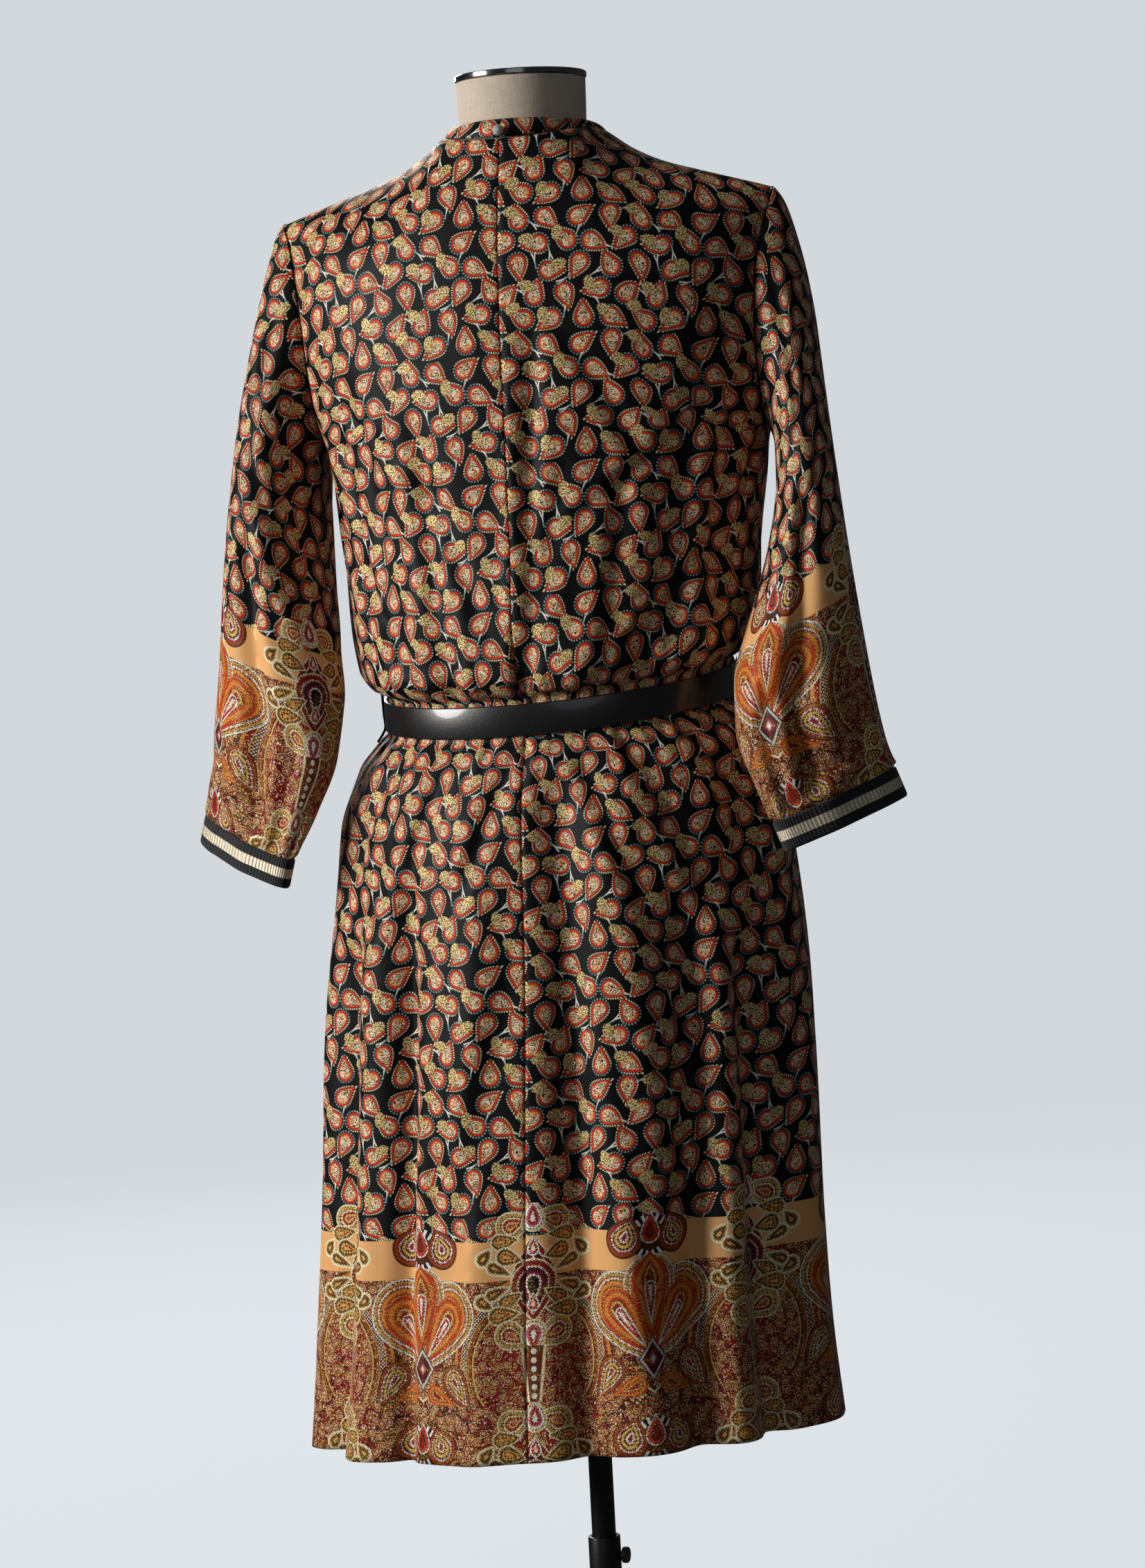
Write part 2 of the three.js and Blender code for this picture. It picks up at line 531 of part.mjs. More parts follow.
function ringPoint(along, angle, hang) {
  const at = (name) => sleeveTable[name](along);
  const turn = at("turn") * TO_RADIANS;
  const bow = Math.sin(Math.PI * along);
  const outerX = at("outerX") + hang.cuff * along ** 2 + hang.outside * bow;
  const innerX = at("innerX") + hang.cuff * along ** 2 + hang.inside * bow;
  const lift = hang.lift * along ** 2;
  const halfX = (outerX - innerX) / 2;
  const halfZ = (at("outerZ") - at("innerZ")) / 2;
  const longAxis = point(halfX * Math.cos(turn), -halfX * Math.sin(turn), halfZ);
  const shortAxis = point(Math.sin(turn), Math.cos(turn), 0).multiplyScalar(at("half"));
  const middle = point((outerX + innerX) / 2, at("y"), (at("outerZ") + at("innerZ")) / 2 + lift);
  const gather = smooth((along - 0.8) / 0.2) * CUFF_GATHER_DEPTH * (1 - smooth((along - 0.97) / 0.03));
  const wave = 1 + (gather * Math.cos(CUFF_GATHERS * angle)) / 55;
  middle.addScaledVector(longAxis, Math.cos(angle) * wave);
  middle.addScaledVector(shortAxis, Math.sin(angle) * wave * (1 - creaseDepth(along, angle) / at("half")));
  return middle;
}

function creaseDepth(along, angle) {
  const degrees = angle / TO_RADIANS;
  let depth = 0;
  for (const crease of SLEEVE_CREASES) {
    const away = ((((degrees - crease.round) % 360) + 540) % 360) - 180;
    const lengthways = (along - crease.along - away * 0.0006) / crease.wide;
    depth += crease.depth * Math.exp(-((away / crease.reach) ** 2) - lengthways ** 2);
  }
  return depth;
}

function sleevePoint(along, angle, hang) {
  const ring = ringPoint(along, angle, hang);
  const difference = armholePoint(angle).sub(ringPoint(0, angle, hang));
  const kept = 1 - sleeveTable.free(along);
  return ring.addScaledVector(difference, kept).add(point(0.45, 0, 0.4));
}

function sleeveNormal(along, angle, hang) {
  const step = 0.006;
  const round = sleevePoint(along, angle + step * 6, hang).sub(sleevePoint(along, angle - step * 6, hang));
  const down = sleevePoint(Math.min(1, along + step), angle, hang).sub(
    sleevePoint(Math.max(0, along - step), angle, hang),
  );
  return down.cross(round).normalize();
}

// Mirrors a point to the sleeve's own side.
const toSide = (p, hang) => p.setX(p.x * hang.side);

function sleeve(name, hang, material) {
  const outer = [];
  const inner = [];
  for (const along of SLEEVE_ALONG) {
    outer.push(RING_ANGLES.map((angle) => sleevePoint(along, angle, hang)));
    inner.push(
      RING_ANGLES.map((angle, j) => {
        const p = outer[outer.length - 1][j].clone();
        const normal = sleeveNormal(along, angle, hang);
        if (along === 1) normal.projectOnPlane(cuffAxis(hang)).normalize();
        if (along > 0) return p.addScaledVector(normal, -WALL);
        const share = (1 + Math.cos(angle)) / 2;
        return p.addScaledVector(clothNormal(1, 1 + Math.min(1, share), angle <= Math.PI ? 1 : -1), -WALL);
      }),
    );
  }
  for (const grid of [outer, inner]) for (const row of grid) for (const p of row) toSide(p, hang);
  return named(name, shell(outer, inner, true), material);
}

// The direction in which a cuff leaves its sleeve, square to the last ring.
function cuffAxis(hang) {
  const top = ringPoint(1, 0, hang).sub(ringPoint(1, Math.PI, hang));
  const back = ringPoint(1, Math.PI / 2, hang).sub(ringPoint(1, -Math.PI / 2, hang));
  return back.cross(top).normalize();
}

// The sleeve's last ring drawn on along the cuff's axis, and moved out square to the ring.
function cuffPoint(down, angle, out, hang) {
  const axis = cuffAxis(hang);
  const step = 0.05;
  const along = ringPoint(1, angle + step, hang).sub(ringPoint(1, angle - step, hang));
  const outward = along.cross(axis).normalize();
  const middle = ringPoint(1, 0, hang).lerp(ringPoint(1, Math.PI, hang), 0.5);
  const ring = ringPoint(1, angle, hang);
  if (outward.dot(ring.clone().sub(middle)) < 0) outward.negate();
  return ring.addScaledVector(outward, out).addScaledVector(axis, down).add(point(0.45, 0, 0.4));
}

function cuff(name, hang, material) {
  const downs = [SEAM_GAP, CUFF_HEIGHT / 2, CUFF_HEIGHT];
  const direction = cuffAxis(hang).z < 0 ? 1 : -1;
  const ring = (out) =>
    downs.map((down) => RING_ANGLES.map((angle) => toSide(cuffPoint(down * direction, angle, out, hang), hang)));
  return named(name, shell(ring(0.4), ring(0.4 - CUFF_WALL), true), material);
}

// ---- Belt ---------------------------------------------------------------------------------------
// A point on the belt's path: the cloth under the belt, moved out; height runs across the strap.
function beltPoint(degrees, height, out) {
  const level = BELT_LEVEL + height;
  const angle = degrees * TO_RADIANS;
  const [sine, cosine] = [Math.sin(angle), Math.cos(angle)];
  const side = body.side(BELT_LEVEL);
  const depth = cosine >= 0 ? body.back(BELT_LEVEL) : body.front(BELT_LEVEL);
  const normal = new THREE.Vector2(sine / side, cosine / depth).normalize();
  const x = side * sine + normal.x * out;
  const y = depth * cosine + normal.y * out;
  return point(x, y, level + body.rise(BELT_LEVEL) * x + body.pitch(BELT_LEVEL) * y);
}

const BELT_CLEAR = 0.6;
const BELT_LAYER = BELT_THICK + 0.5; // the tail's height over the strap below it

function beltStrap(material) {
  const count = 76;
  const whole = 360 + BELT_TAIL_ANGLE;
  const lift = (turned) => BELT_CLEAR + BELT_LAYER * smooth((turned - 330) / 26);
  const section = [-1, 1];
  const outer = [];
  const inner = [];
  for (let i = 0; i <= count; i += 1) {
    const turned = (i / count) * whole;
    const degrees = BELT_START_ANGLE + turned;
    const place = (share, out) => beltPoint(degrees, (share * BELT_WIDTH) / 2, out);
    outer.push(section.map((share) => place(share, lift(turned) + BELT_THICK)));
    inner.push(section.map((share) => place(share, lift(turned))));
  }
  return named("belt_strap", shell(outer, inner, false), material);
}

// A flat frame in the belt's own plane at the front, with a bar across it and a keeper band.
function beltFront(leather, metal) {
  const front = beltPoint(180, 0, BELT_CLEAR + BELT_LAYER + BELT_THICK);
  const slope = Math.atan(-body.rise(BELT_LEVEL));
  const place = (geometry) => {
    geometry.rotateX(Math.PI / 2);
    geometry.rotateY(slope);
    return geometry.translate(front.x, front.y, front.z);
  };
  const frame = new THREE.Shape();
  const [halfWide, halfHigh, bar] = [19, 16.2, 3.2];
  frame.moveTo(-halfWide, -halfHigh);
  frame.lineTo(halfWide, -halfHigh);
  frame.lineTo(halfWide, halfHigh);
  frame.lineTo(-halfWide, halfHigh);
  frame.closePath();
  const hole = new THREE.Path();
  hole.moveTo(-halfWide + bar, -halfHigh + bar);
  hole.lineTo(-halfWide + bar, halfHigh - bar);
  hole.lineTo(halfWide - bar, halfHigh - bar);
  hole.lineTo(halfWide - bar, -halfHigh + bar);
  hole.closePath();
  frame.holes.push(hole);
  const frameThick = 2;
  const bevel = 0.5;
  const buckle = new THREE.ExtrudeGeometry(frame, {
    depth: frameThick,
    bevelEnabled: true,
    bevelSize: bevel,
    bevelThickness: bevel,
    bevelSegments: 1,
  });
  buckle.translate(0, 0, SEAM_GAP + bevel);
  const prong = new THREE.BoxGeometry(2 * halfWide - 2 * bar - 2.4, 3, 2.4);
  prong.translate(0, 0, SEAM_GAP + 1.2);
  return [named("buckle_frame", place(buckle), metal), named("buckle_prong", place(prong), metal), keeper(leather)];
}

// The keeper goes round both layers of the strap, close beside the buckle.
function keeper(material) {
  const middle = BELT_START_ANGLE + 22;
  const clear = 0.3;
  const thick = 1.2;
  const inside = { low: BELT_CLEAR + 0.2, high: BELT_CLEAR + BELT_LAYER + BELT_THICK + clear };
  const reach = BELT_WIDTH / 2 + clear;
  const corners = (grow) => [
    [-reach - grow, inside.high + grow],
    [reach + grow, inside.high + grow],
    [reach + grow, inside.low],
    [-reach - grow, inside.low],
  ];
  const halfAngle = 2.2;
  const ring = (grow) =>
    [-halfAngle, halfAngle].map((turn) =>
      corners(grow).map(([height, out]) => beltPoint(middle + turn, height, out)),
    );
  const [outer, inner] = [ring(thick), ring(0)];
  const open = (rows) => rows.map(([a, b, c, d]) => [c, b, a, d]);
  return named("belt_keeper", shell(open(outer), open(inner), false), material);
}

// A thin thread loop at each side seam that the belt runs through.
function beltLoop(name, degrees, material) {
  const half = BELT_WIDTH / 2;
  const strandRadius = 1.1;
  const overStrap = BELT_CLEAR + BELT_THICK + strandRadius + SEAM_GAP;
  const overCloth = (height) =>
    body.side(BELT_LEVEL + height) - body.side(BELT_LEVEL) + GATHER_DEPTH + strandRadius + SEAM_GAP;
  const [above, below] = [half + 17, -half - 14];
  const route = [
    [above, overCloth(above)],
    [above - 5, overCloth(above - 5) + 1.5],
    [half + 3, Math.max(overStrap + 5, overCloth(half + 3) + 2)],
    [half * 0.4, overStrap + 4],
    [-half * 0.4, overStrap + 3.6],
    [-half - 3, Math.max(overStrap + 3, overCloth(-half - 3) + 2)],
    [below + 4, overCloth(below + 4) + 1],
    [below, overCloth(below)],
  ].map(([height, out]) => beltPoint(degrees, height, out));
  const path = new THREE.CatmullRomCurve3(route);
  const strand = new THREE.Shape();
  strand.absellipse(0, 0, strandRadius, strandRadius, 0, 2 * Math.PI);
  const loop = new THREE.ExtrudeGeometry(strand, { steps: 16, extrudePath: path, curveSegments: 3 });
  return named(name, loop, material);
}

// ---- Dress form and stand -----------------------------------------------------------------------
// The form's half width, back and front by height, up to the underarm.
const FORM_ROWS = [
  { z: 715, side: 158, back: 98, front: 90 },
  { z: 790, side: 166, back: 106, front: 96 },
  { z: 860, side: 165, back: 108, front: 98 },
  { z: 940, side: 148, back: 96, front: 94 },
  { z: 1030, side: 124, back: 80, front: 88 },
  { z: 1060, side: 122, back: 80, front: 90 },
  { z: 1130, side: 136, back: 90, front: 104 },
  { z: 1200, side: 156, back: 100, front: 116 },
  { z: UNDERARM_Z, side: 170, back: 106, front: 120 },
];
// Above the underarm: the form's half width by the share of the way to the shoulder line.
const FORM_CAP_ROWS = [
  { share: 0, out: 170 },
  { share: 0.35, out: 180 },
  { share: 0.7, out: 186 },
  { share: 0.9, out: 194 },
  { share: 1, out: 199 },
];
const form = Object.fromEntries(["side", "back", "front"].map((name) => [name, column(FORM_ROWS, "z", name)]));
const formOut = column(FORM_CAP_ROWS, "share", "out");
const FORM_NECK_SEAT = NECK_RADIUS - 2; // radius of the flat top that the neck stands on
// The form's columns, by their share of its half width: one of them runs up to the neck's seat.
const FORM_COLUMNS = [0, 0.13, FORM_NECK_SEAT / 199, 0.275, 0.37, 0.48, 0.6, 0.72, 0.83, 0.92, 0.98];

function formLower(degrees, z) {
  const angle = degrees * TO_RADIANS;
  const depth = Math.cos(angle) >= 0 ? form.back(z) : form.front(z);
  return point(form.side(z) * Math.sin(angle), depth * Math.cos(angle), z);
}

function formUpper(degrees, share) {
  const angle = degrees * TO_RADIANS;
  const facing = Math.cos(angle) >= 0 ? 1 : -1;
  const x = formOut(share) * Math.sin(angle);
  const out = Math.abs(x);
  const nearNeck = 3 * (1 - smooth((out - FORM_NECK_SEAT) / 60));
  const drop = (WALL + FORM_CLEAR) * 1.06 + nearNeck;
  const neck = out < FORM_NECK_SEAT + 0.01;
  const top = (neck ? Math.min(napeZ(0), shoulderZ(out)) - 6 : shoulderZ(out)) - drop;
  const z = UNDERARM_Z + (top - UNDERARM_Z) * share;
  const inset = WALL + FORM_CLEAR + 2.5;
  const depth = facing > 0 ? chest.back(z) - inset : -(chest.front(z) - inset - 2);
  const full = depth * Math.sqrt(Math.max(0, 1 - (x / formOut(share)) ** 2));
  const neckEdge = NECK_AXIS_Y + facing * Math.sqrt(Math.max(0, FORM_NECK_SEAT ** 2 - out ** 2));
  const edge = neck ? neckEdge : shoulderY(out);
  const rounding = Math.sqrt(1 - (1 - clamp01((top - z) / SHOULDER_ROUND)) ** 2);
  return point(x, edge + (full - edge) * rounding, z);
}

function formTorso(material) {
  const quarter = FORM_COLUMNS.map((share) => Math.asin(share) / TO_RADIANS);
  const half = [...quarter, 90, ...quarter.slice(1).reverse().map((degrees) => 180 - degrees)];
  const angles = [...half, ...half.map((degrees) => degrees + 180)];
  const columns = angles.length;
  const heights = [FORM_BOTTOM_Z, 740, 800, 870, 940, 1000, 1045, 1090, 1150, 1210];
  const rows = [
    ...heights.map((z) => angles.map((degrees) => formLower(degrees, z))),
    ...SHARES.map((share) => angles.map((degrees) => formUpper(degrees, share))),
  ];
  const positions = rows.flat().flatMap((p) => [p.x, p.y, p.z]);
  const index = [];
  const id = (i, j) => i * columns + (j % columns);
  for (let i = 0; i < rows.length - 1; i += 1) {
    for (let j = 0; j < columns; j += 1) {
      index.push(id(i, j), id(i, j + 1), id(i + 1, j + 1), id(i, j), id(i + 1, j + 1), id(i + 1, j));
    }
  }
  const bottom = positions.length / 3;
  positions.push(0, 0, FORM_BOTTOM_Z);
  const last = rows.length - 1;
  // The shoulder ridge closes on itself: columns on either side of it share their points.
  for (let j = 0; j < columns; j += 1) index.push(bottom, id(0, j + 1), id(0, j));
  for (let j = 0; j < columns / 4; j += 1) {
    const back = [j, j + 1];
    const front = [columns / 2 - j, columns / 2 - j - 1];
    index.push(id(last, back[0]), id(last, back[1]), id(last, front[1]));
    index.push(id(last, back[0]), id(last, front[1]), id(last, front[0]));
    const mirrorBack = back.map((k) => (columns - k) % columns);
    const mirrorFront = front.map((k) => (columns - k) % columns);
    index.push(id(last, mirrorBack[1]), id(last, mirrorBack[0]), id(last, mirrorFront[1]));
    index.push(id(last, mirrorBack[0]), id(last, mirrorFront[0]), id(last, mirrorFront[1]));
  }
  const geometry = new THREE.BufferGeometry();
  geometry.setAttribute("position", new THREE.Float32BufferAttribute(positions, 3));
  geometry.setIndex(index);
  return named("form_torso", facingOut(geometry), material);
}

// A turned piece about a vertical axis: its profile's points are [radius, height].
function turned(name, profile, sides, y, material) {
  const geometry = new THREE.LatheGeometry(profile.map(([r, z]) => new THREE.Vector2(r, z)), sides);
  geometry.rotateX(Math.PI / 2);
  geometry.translate(0, y, 0);
  return named(name, facingOut(geometry), material);
}

function neckAndCap(linen, chrome) {
  const neckBottom = formUpper(0, 1).z + SEAM_GAP;
  const rim = NECK_RADIUS + 1;
  const capBottom = NECK_TOP_Z + SEAM_GAP;
  const neck = [
    [0, neckBottom],
    [NECK_RADIUS - 2.5, neckBottom],
    [NECK_RADIUS - 1, neckBottom + 22],
    [NECK_RADIUS, NECK_TOP_Z],
    [0, NECK_TOP_Z],
  ];
  const cap = [
    [0, capBottom],
    [rim - 0.8, capBottom],
    [rim, capBottom + 0.8],
    [rim, capBottom + 4],
    [rim - 0.9, capBottom + 4.8],
    [rim - 4, capBottom + 4.8],
    [rim - 5, capBottom + 3.6],
    [0, capBottom + 4.4],
  ];
  return [
    turned("form_neck", neck, 36, NECK_AXIS_Y, linen),
    turned("neck_cap", cap, 36, NECK_AXIS_Y, chrome),
  ];
}

function stand(metal) {
  const flangeTop = FORM_BOTTOM_Z - SEAM_GAP;
  const socketBore = ROD_RADIUS + 0.4;
  const socket = [
    [0, flangeTop],
    [46, flangeTop],
    [46, flangeTop - 5],
    [16, flangeTop - 8],
    [16, flangeTop - 46],
    [socketBore, flangeTop - 46],
    [socketBore, flangeTop - 7],
    [0, flangeTop - 7],
  ];
  const rodTop = flangeTop - 7 - SEAM_GAP;
  const rod = [
    [0, ROD_BOTTOM_Z],
    [ROD_RADIUS - 1, ROD_BOTTOM_Z],
    [ROD_RADIUS, ROD_BOTTOM_Z + 1],
    [ROD_RADIUS, rodTop],
    [0, rodTop],
  ];
  const tubeBottom = BASE_THICK + SEAM_GAP;
  const tube = [
    [TUBE_BORE, tubeBottom],
    [TUBE_RADIUS, tubeBottom],
    [TUBE_RADIUS, TUBE_TOP_Z],
    [TUBE_BORE, TUBE_TOP_Z],
    [TUBE_BORE, tubeBottom],
  ];
  const collarBottom = COLLAR_TOP_Z - COLLAR_HEIGHT;
  const collar = [
    [TUBE_RADIUS + SEAM_GAP, collarBottom],
    [COLLAR_RADIUS, collarBottom],
    [COLLAR_RADIUS, COLLAR_TOP_Z - 1],
    [COLLAR_RADIUS - 1, COLLAR_TOP_Z],
    [TUBE_BORE + 0.1, COLLAR_TOP_Z],
    [TUBE_BORE + 0.1, TUBE_TOP_Z + SEAM_GAP],
    [TUBE_RADIUS + SEAM_GAP, TUBE_TOP_Z + SEAM_GAP],
    [TUBE_RADIUS + SEAM_GAP, collarBottom],
  ];
  const hubBore = TUBE_RADIUS + SEAM_GAP;
  const base = [
    [0, 0],
    [BASE_RADIUS, 0],
    [BASE_RADIUS, BASE_THICK - 3],
    [BASE_RADIUS - 4, BASE_THICK],
    [HUB_RADIUS + 6, BASE_THICK + 1],
    [HUB_RADIUS, BASE_THICK + 6],
    [HUB_RADIUS - 2, HUB_TOP_Z],
    [hubBore, HUB_TOP_Z],
    [hubBore, BASE_THICK],
    [0, BASE_THICK],
  ];
  return [
    turned("pole_socket", socket, 24, 0, metal),
    turned("pole_rod", rod, 24, 0, metal),
    turned("pole_tube", tube, 24, 0, metal),
    turned("pole_collar", collar, 24, 0, metal),
    turned("base_plate", base, 48, 0, metal),
    clampScrew(metal),
  ];
}

// The clamp's screw head stands out of the collar towards -X.
function clampScrew(metal) {
  const head = [
    [0, 0],
    [3.2, 0],
    [3.2, 1.6],
    [6, 1.8],
    [6.6, 2.6],
    [6.6, 6],
    [5.6, 7],
    [0, 7],
  ];
  const geometry = new THREE.LatheGeometry(head.map(([r, z]) => new THREE.Vector2(r, z)), 20);
  geometry.rotateZ(Math.PI / 2);
  geometry.translate(-COLLAR_RADIUS - SEAM_GAP, 0, COLLAR_TOP_Z - 16);
  return named("clamp_screw", facingOut(geometry), metal);
}

// ---- The whole ----------------------------------------------------------------------------------
const cloth = finish(INK_CLOTH, 0.55, 0);
const rib = finish(RIB_BLACK, 0.8, 0);
const leather = finish(BELT_BLACK, 0.3, 0);
const linen = finish(LINEN, 0.9, 0);
const chrome = finish(CHROME, 0.2, 1);
const blackMetal = finish(BLACK_METAL, 0.45, 0.6);
const silver = finish(SILVER, 0.25, 0.9);

const dress = new THREE.Group();
dress.add(...bodyPanels(cloth), neckband(cloth), napeButton(silver));
for (const [side, hang] of Object.entries(SLEEVE_HANG)) {
  dress.add(sleeve("sleeve_" + side, hang, cloth), cuff("cuff_" + side, hang, rib));
  dress.add(beltLoop("belt_loop_" + side, 90 * hang.side, leather));
}
dress.add(beltStrap(leather), ...beltFront(leather, blackMetal));

const figure = new THREE.Group();
figure.add(formTorso(linen), ...neckAndCap(linen, chrome));

const whole = new THREE.Group();
whole.add(dress, figure, ...stand(blackMetal));

export default whole;
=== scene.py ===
"""A belted midi dress with three-quarter sleeves on a limbless dress form.

The shapes are the same surfaces as the solids', worked out again on finer grids in millimetres. The pole is
the Z axis, the dress faces -Y and the wearer's left is +X. Angles round the body run from the centre back,
positive towards +X.
"""

import json
import math

import bmesh
import bpy
import numpy as np
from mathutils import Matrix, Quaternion, Vector

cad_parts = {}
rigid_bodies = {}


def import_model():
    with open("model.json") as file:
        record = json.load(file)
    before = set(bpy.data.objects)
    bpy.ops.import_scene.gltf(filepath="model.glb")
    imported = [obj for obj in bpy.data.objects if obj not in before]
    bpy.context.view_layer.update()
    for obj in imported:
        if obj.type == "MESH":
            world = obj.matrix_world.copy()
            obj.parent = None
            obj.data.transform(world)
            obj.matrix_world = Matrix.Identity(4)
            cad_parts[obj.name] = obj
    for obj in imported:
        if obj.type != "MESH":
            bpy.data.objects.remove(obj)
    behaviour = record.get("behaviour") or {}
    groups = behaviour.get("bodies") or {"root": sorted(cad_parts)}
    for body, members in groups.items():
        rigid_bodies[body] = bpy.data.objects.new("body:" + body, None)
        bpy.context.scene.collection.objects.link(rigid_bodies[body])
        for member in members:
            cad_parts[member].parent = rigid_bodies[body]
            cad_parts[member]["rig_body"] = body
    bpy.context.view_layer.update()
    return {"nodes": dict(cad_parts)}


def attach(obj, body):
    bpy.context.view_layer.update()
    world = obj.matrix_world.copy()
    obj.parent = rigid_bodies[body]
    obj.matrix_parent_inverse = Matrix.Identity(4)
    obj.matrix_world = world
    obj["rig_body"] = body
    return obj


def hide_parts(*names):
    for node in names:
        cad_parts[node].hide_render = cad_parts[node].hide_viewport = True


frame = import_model()
NODES = frame["nodes"]

MM = 0.001

# ---- Sizes ------------------------------------------------------------------------------------------
HEM_LEVEL = 446
UNDERARM_Z = 1250
NAPE_Z = 1486
NECK_POINT_Z = 1494
NECK_HOLE = 64
NECK_AXIS_Y = 20
SHOULDER_HALF = 205.5
SHOULDER_ROUND = 78
V_POINT_Z = 1300
BAND_RADIUS = 56
BAND_TOP_BACK_Z = 1502
BAND_TOP_SIDE_Z = 1500
BAND_V_Z = 1358
BELT_WIDTH = 25
BELT_THICK = 2.4
BELT_LEVEL = 1044
BELT_CLEAR = 0.6
BELT_START_ANGLE = 170
BELT_TAIL_ANGLE = 34
BELT_LAYER = BELT_THICK + 0.5  # the tail's height over the strap below it
CUFF_HEIGHT = 25
CLOTH_WALL = 0.7
RIB_WALL = 1.6

# ---- Tables -----------------------------------------------------------------------------------------
BODY_NAMES = ("level", "side", "back", "front", "shift", "rise", "pitch")
BODY_ROWS = (
    (446, 219, 150, 142, 13, -0.056, 0),
    (520, 212, 146, 138, 12, -0.053, 0),
    (640, 205, 140, 133, 8, -0.05, -0.02),
    (800, 198, 134, 128, 2, -0.05, -0.05),
    (905, 189, 128, 124, 0, -0.048, -0.08),
    (960, 183, 122, 120, 0, -0.047, -0.12),
    (1000, 171, 113, 115, 0, -0.046, -0.15),
    (1022, 151, 104, 109, 0, -0.046, -0.157),
    (1029, 144, 100, 106, 0, -0.046, -0.157),
    (1060, 144, 100, 106, 0, -0.046, -0.157),
    (1066, 154, 110, 110, 0, -0.046, -0.15),
    (1080, 165, 119, 118, 0, -0.04, -0.13),
    (1115, 170, 119, 119, 0, -0.03, -0.09),
    (1170, 173, 113, 122, 0, -0.015, -0.04),
    (1250, 184, 111, 126, 0, 0, 0),
)
CHEST_NAMES = ("z", "side", "back", "front")
CHEST_ROWS = (
    (1250, 184, 111, 126),
    (1262, 188.5, 111.4, 126),
    (1280, 194, 111.7, 126), (1320, 203, 111.3, 124), (1380, 211, 107, 116), (1440, 215, 98, 104),
    (1500, 216, 86, 88),
)
ARMHOLE_NAMES = ("share", "out", "back", "front")
ARMHOLE_ROWS = (
    (0, 184, 90, 90), (0.06, 185.5, 78, 78), (0.15, 186.5, 69, 69), (0.35, 188, 65, 64),
    (0.6, 190.5, 68, 64), (0.85, 198, 72, 65),
    (1, SHOULDER_HALF, 74, 66.2),
)
SHOULDER_NAMES = ("out", "z", "y")
SHOULDER_ROWS = (
    (40, 1509, 20),
    (NECK_HOLE, NECK_POINT_Z, 20),
    (90, 1476, 22), (115, 1464, 24), (143, 1455, 26), (176, 1445, 28),
    (SHOULDER_HALF, 1436, 29),
    (230, 1428, 30),
)
# Folds: angle at the top and at the bottom, top, bottom, depth (a ridge is negative) and half width.
FOLDS = (
    (-9, -13, 1010, 430, 9, 17),
    (-24, -27, 1000, 430, -5, 24),
    (14, 11, 1000, 430, -4, 22),
    (33, 31, 930, 430, 7, 11),
    (44, 45, 900, 430, -5, 22),
    (57, 60, 880, 430, 8, 14),
    (74, 76, 1000, 430, -6, 24),
    (-40, -38, 900, 430, 7, 15),
    (-49, -48, 900, 430, -5, 18),
    (-56, -58, 860, 430, 9, 13),
    (-76, -78, 1000, 430, -5, 26),
    (108, 110, 980, 430, 7, 18),
    (132, 128, 1000, 430, -6, 26),
    (152, 150, 960, 430, 8, 18),
    (171, 173, 1000, 430, -5, 24),
    (-170, -168, 990, 430, 7, 20),
    (-148, -146, 1000, 430, -6, 26),
    (-127, -125, 960, 430, 8, 18),
    (-104, -106, 980, 430, 6, 18),
    (-3, -2, 1120, 1058, 7, 9),
    (-20, -18, 1130, 1058, -5, 18),
    (-38, -36, 1140, 1058, 5, 12),
    (-58, -55, 1150, 1058, -5, 18),
    (26, 20, 1130, 1058, 5, 12),
    (47, 42, 1150, 1058, -4, 18),
    (48, 40, 1330, 1080, 4, 14),
    (-50, -44, 1320, 1080, 4, 14),
    (140, 146, 1150, 1058, 5, 14),
    (-140, -146, 1150, 1058, 5, 14),
)
# Shallow creases of the cloth alone: angle and level where one starts and ends, depth and half width.
CREASES = (
    (-7, 1330, -5, 1085, 2.6, 8),
    (-66, 1290, -60, 1090, 3.4, 11),
    (25, 1260, 22, 1090, 2.0, 9),
    (-31, 1220, -26, 1080, 2.0, 8),
    (56, 1270, 50, 1090, 2.4, 10),
    (-14, 1330, -46, 1180, 1.6, 9),
    (18, 1200, 52, 1290, 1.8, 8),
    (-20, 1190, -60, 1285, 1.7, 9),
    (38, 1100, 66, 1190, 2.2, 9),
    (-36, 1100, -70, 1185, 2.0, 9),
    (8, 1110, 22, 1220, 1.4, 8),
    (-8, 1120, -15, 1240, 1.5, 8),
    (62, 1150, 80, 1235, 2.0, 8),
    (-66, 1150, -82, 1240, 2.0, 8),
    (4, 1010, 16, 900, 1.8, 8),
    (-16, 1012, -30, 880, 2.0, 8),
    (24, 1012, 38, 860, 1.8, 8),
    (-32, 1012, -48, 870, 2.0, 9),
    (46, 1010, 62, 900, 2.2, 9),
    (-54, 1010, -66, 890, 2.2, 9),
    (4, 830, 20, 560, 1.6, 12),
    (-22, 800, -31, 500, 1.8, 12),
    (22, 700, 25, 450, 1.6, 11),
    (50, 760, 52, 450, 1.8, 12),
    (-66, 780, -68, 450, 2.0, 12),
    (160, 1110, 130, 1230, 2.0, 10),
    (-160, 1110, -132, 1230, 2.0, 10),
    (176, 1140, 168, 1240, 1.6, 9),
    (120, 1150, 104, 1235, 2.0, 9),
    (-118, 1150, -102, 1235, 2.0, 9),
    (168, 1010, 160, 860, 2.0, 9),
    (-172, 1010, -164, 870, 2.0, 9),
    (140, 1010, 142, 880, 2.0, 9),
    (-136, 1010, -138, 860, 2.0, 9),
    (118, 780, 120, 450, 1.8, 12),
    (-116, 800, -114, 450, 1.8, 12),
)
CREASE_DEEPEN = 1.7
CREASE_LIP = 0.45  # the ridge beside a crease, as a share of its depth
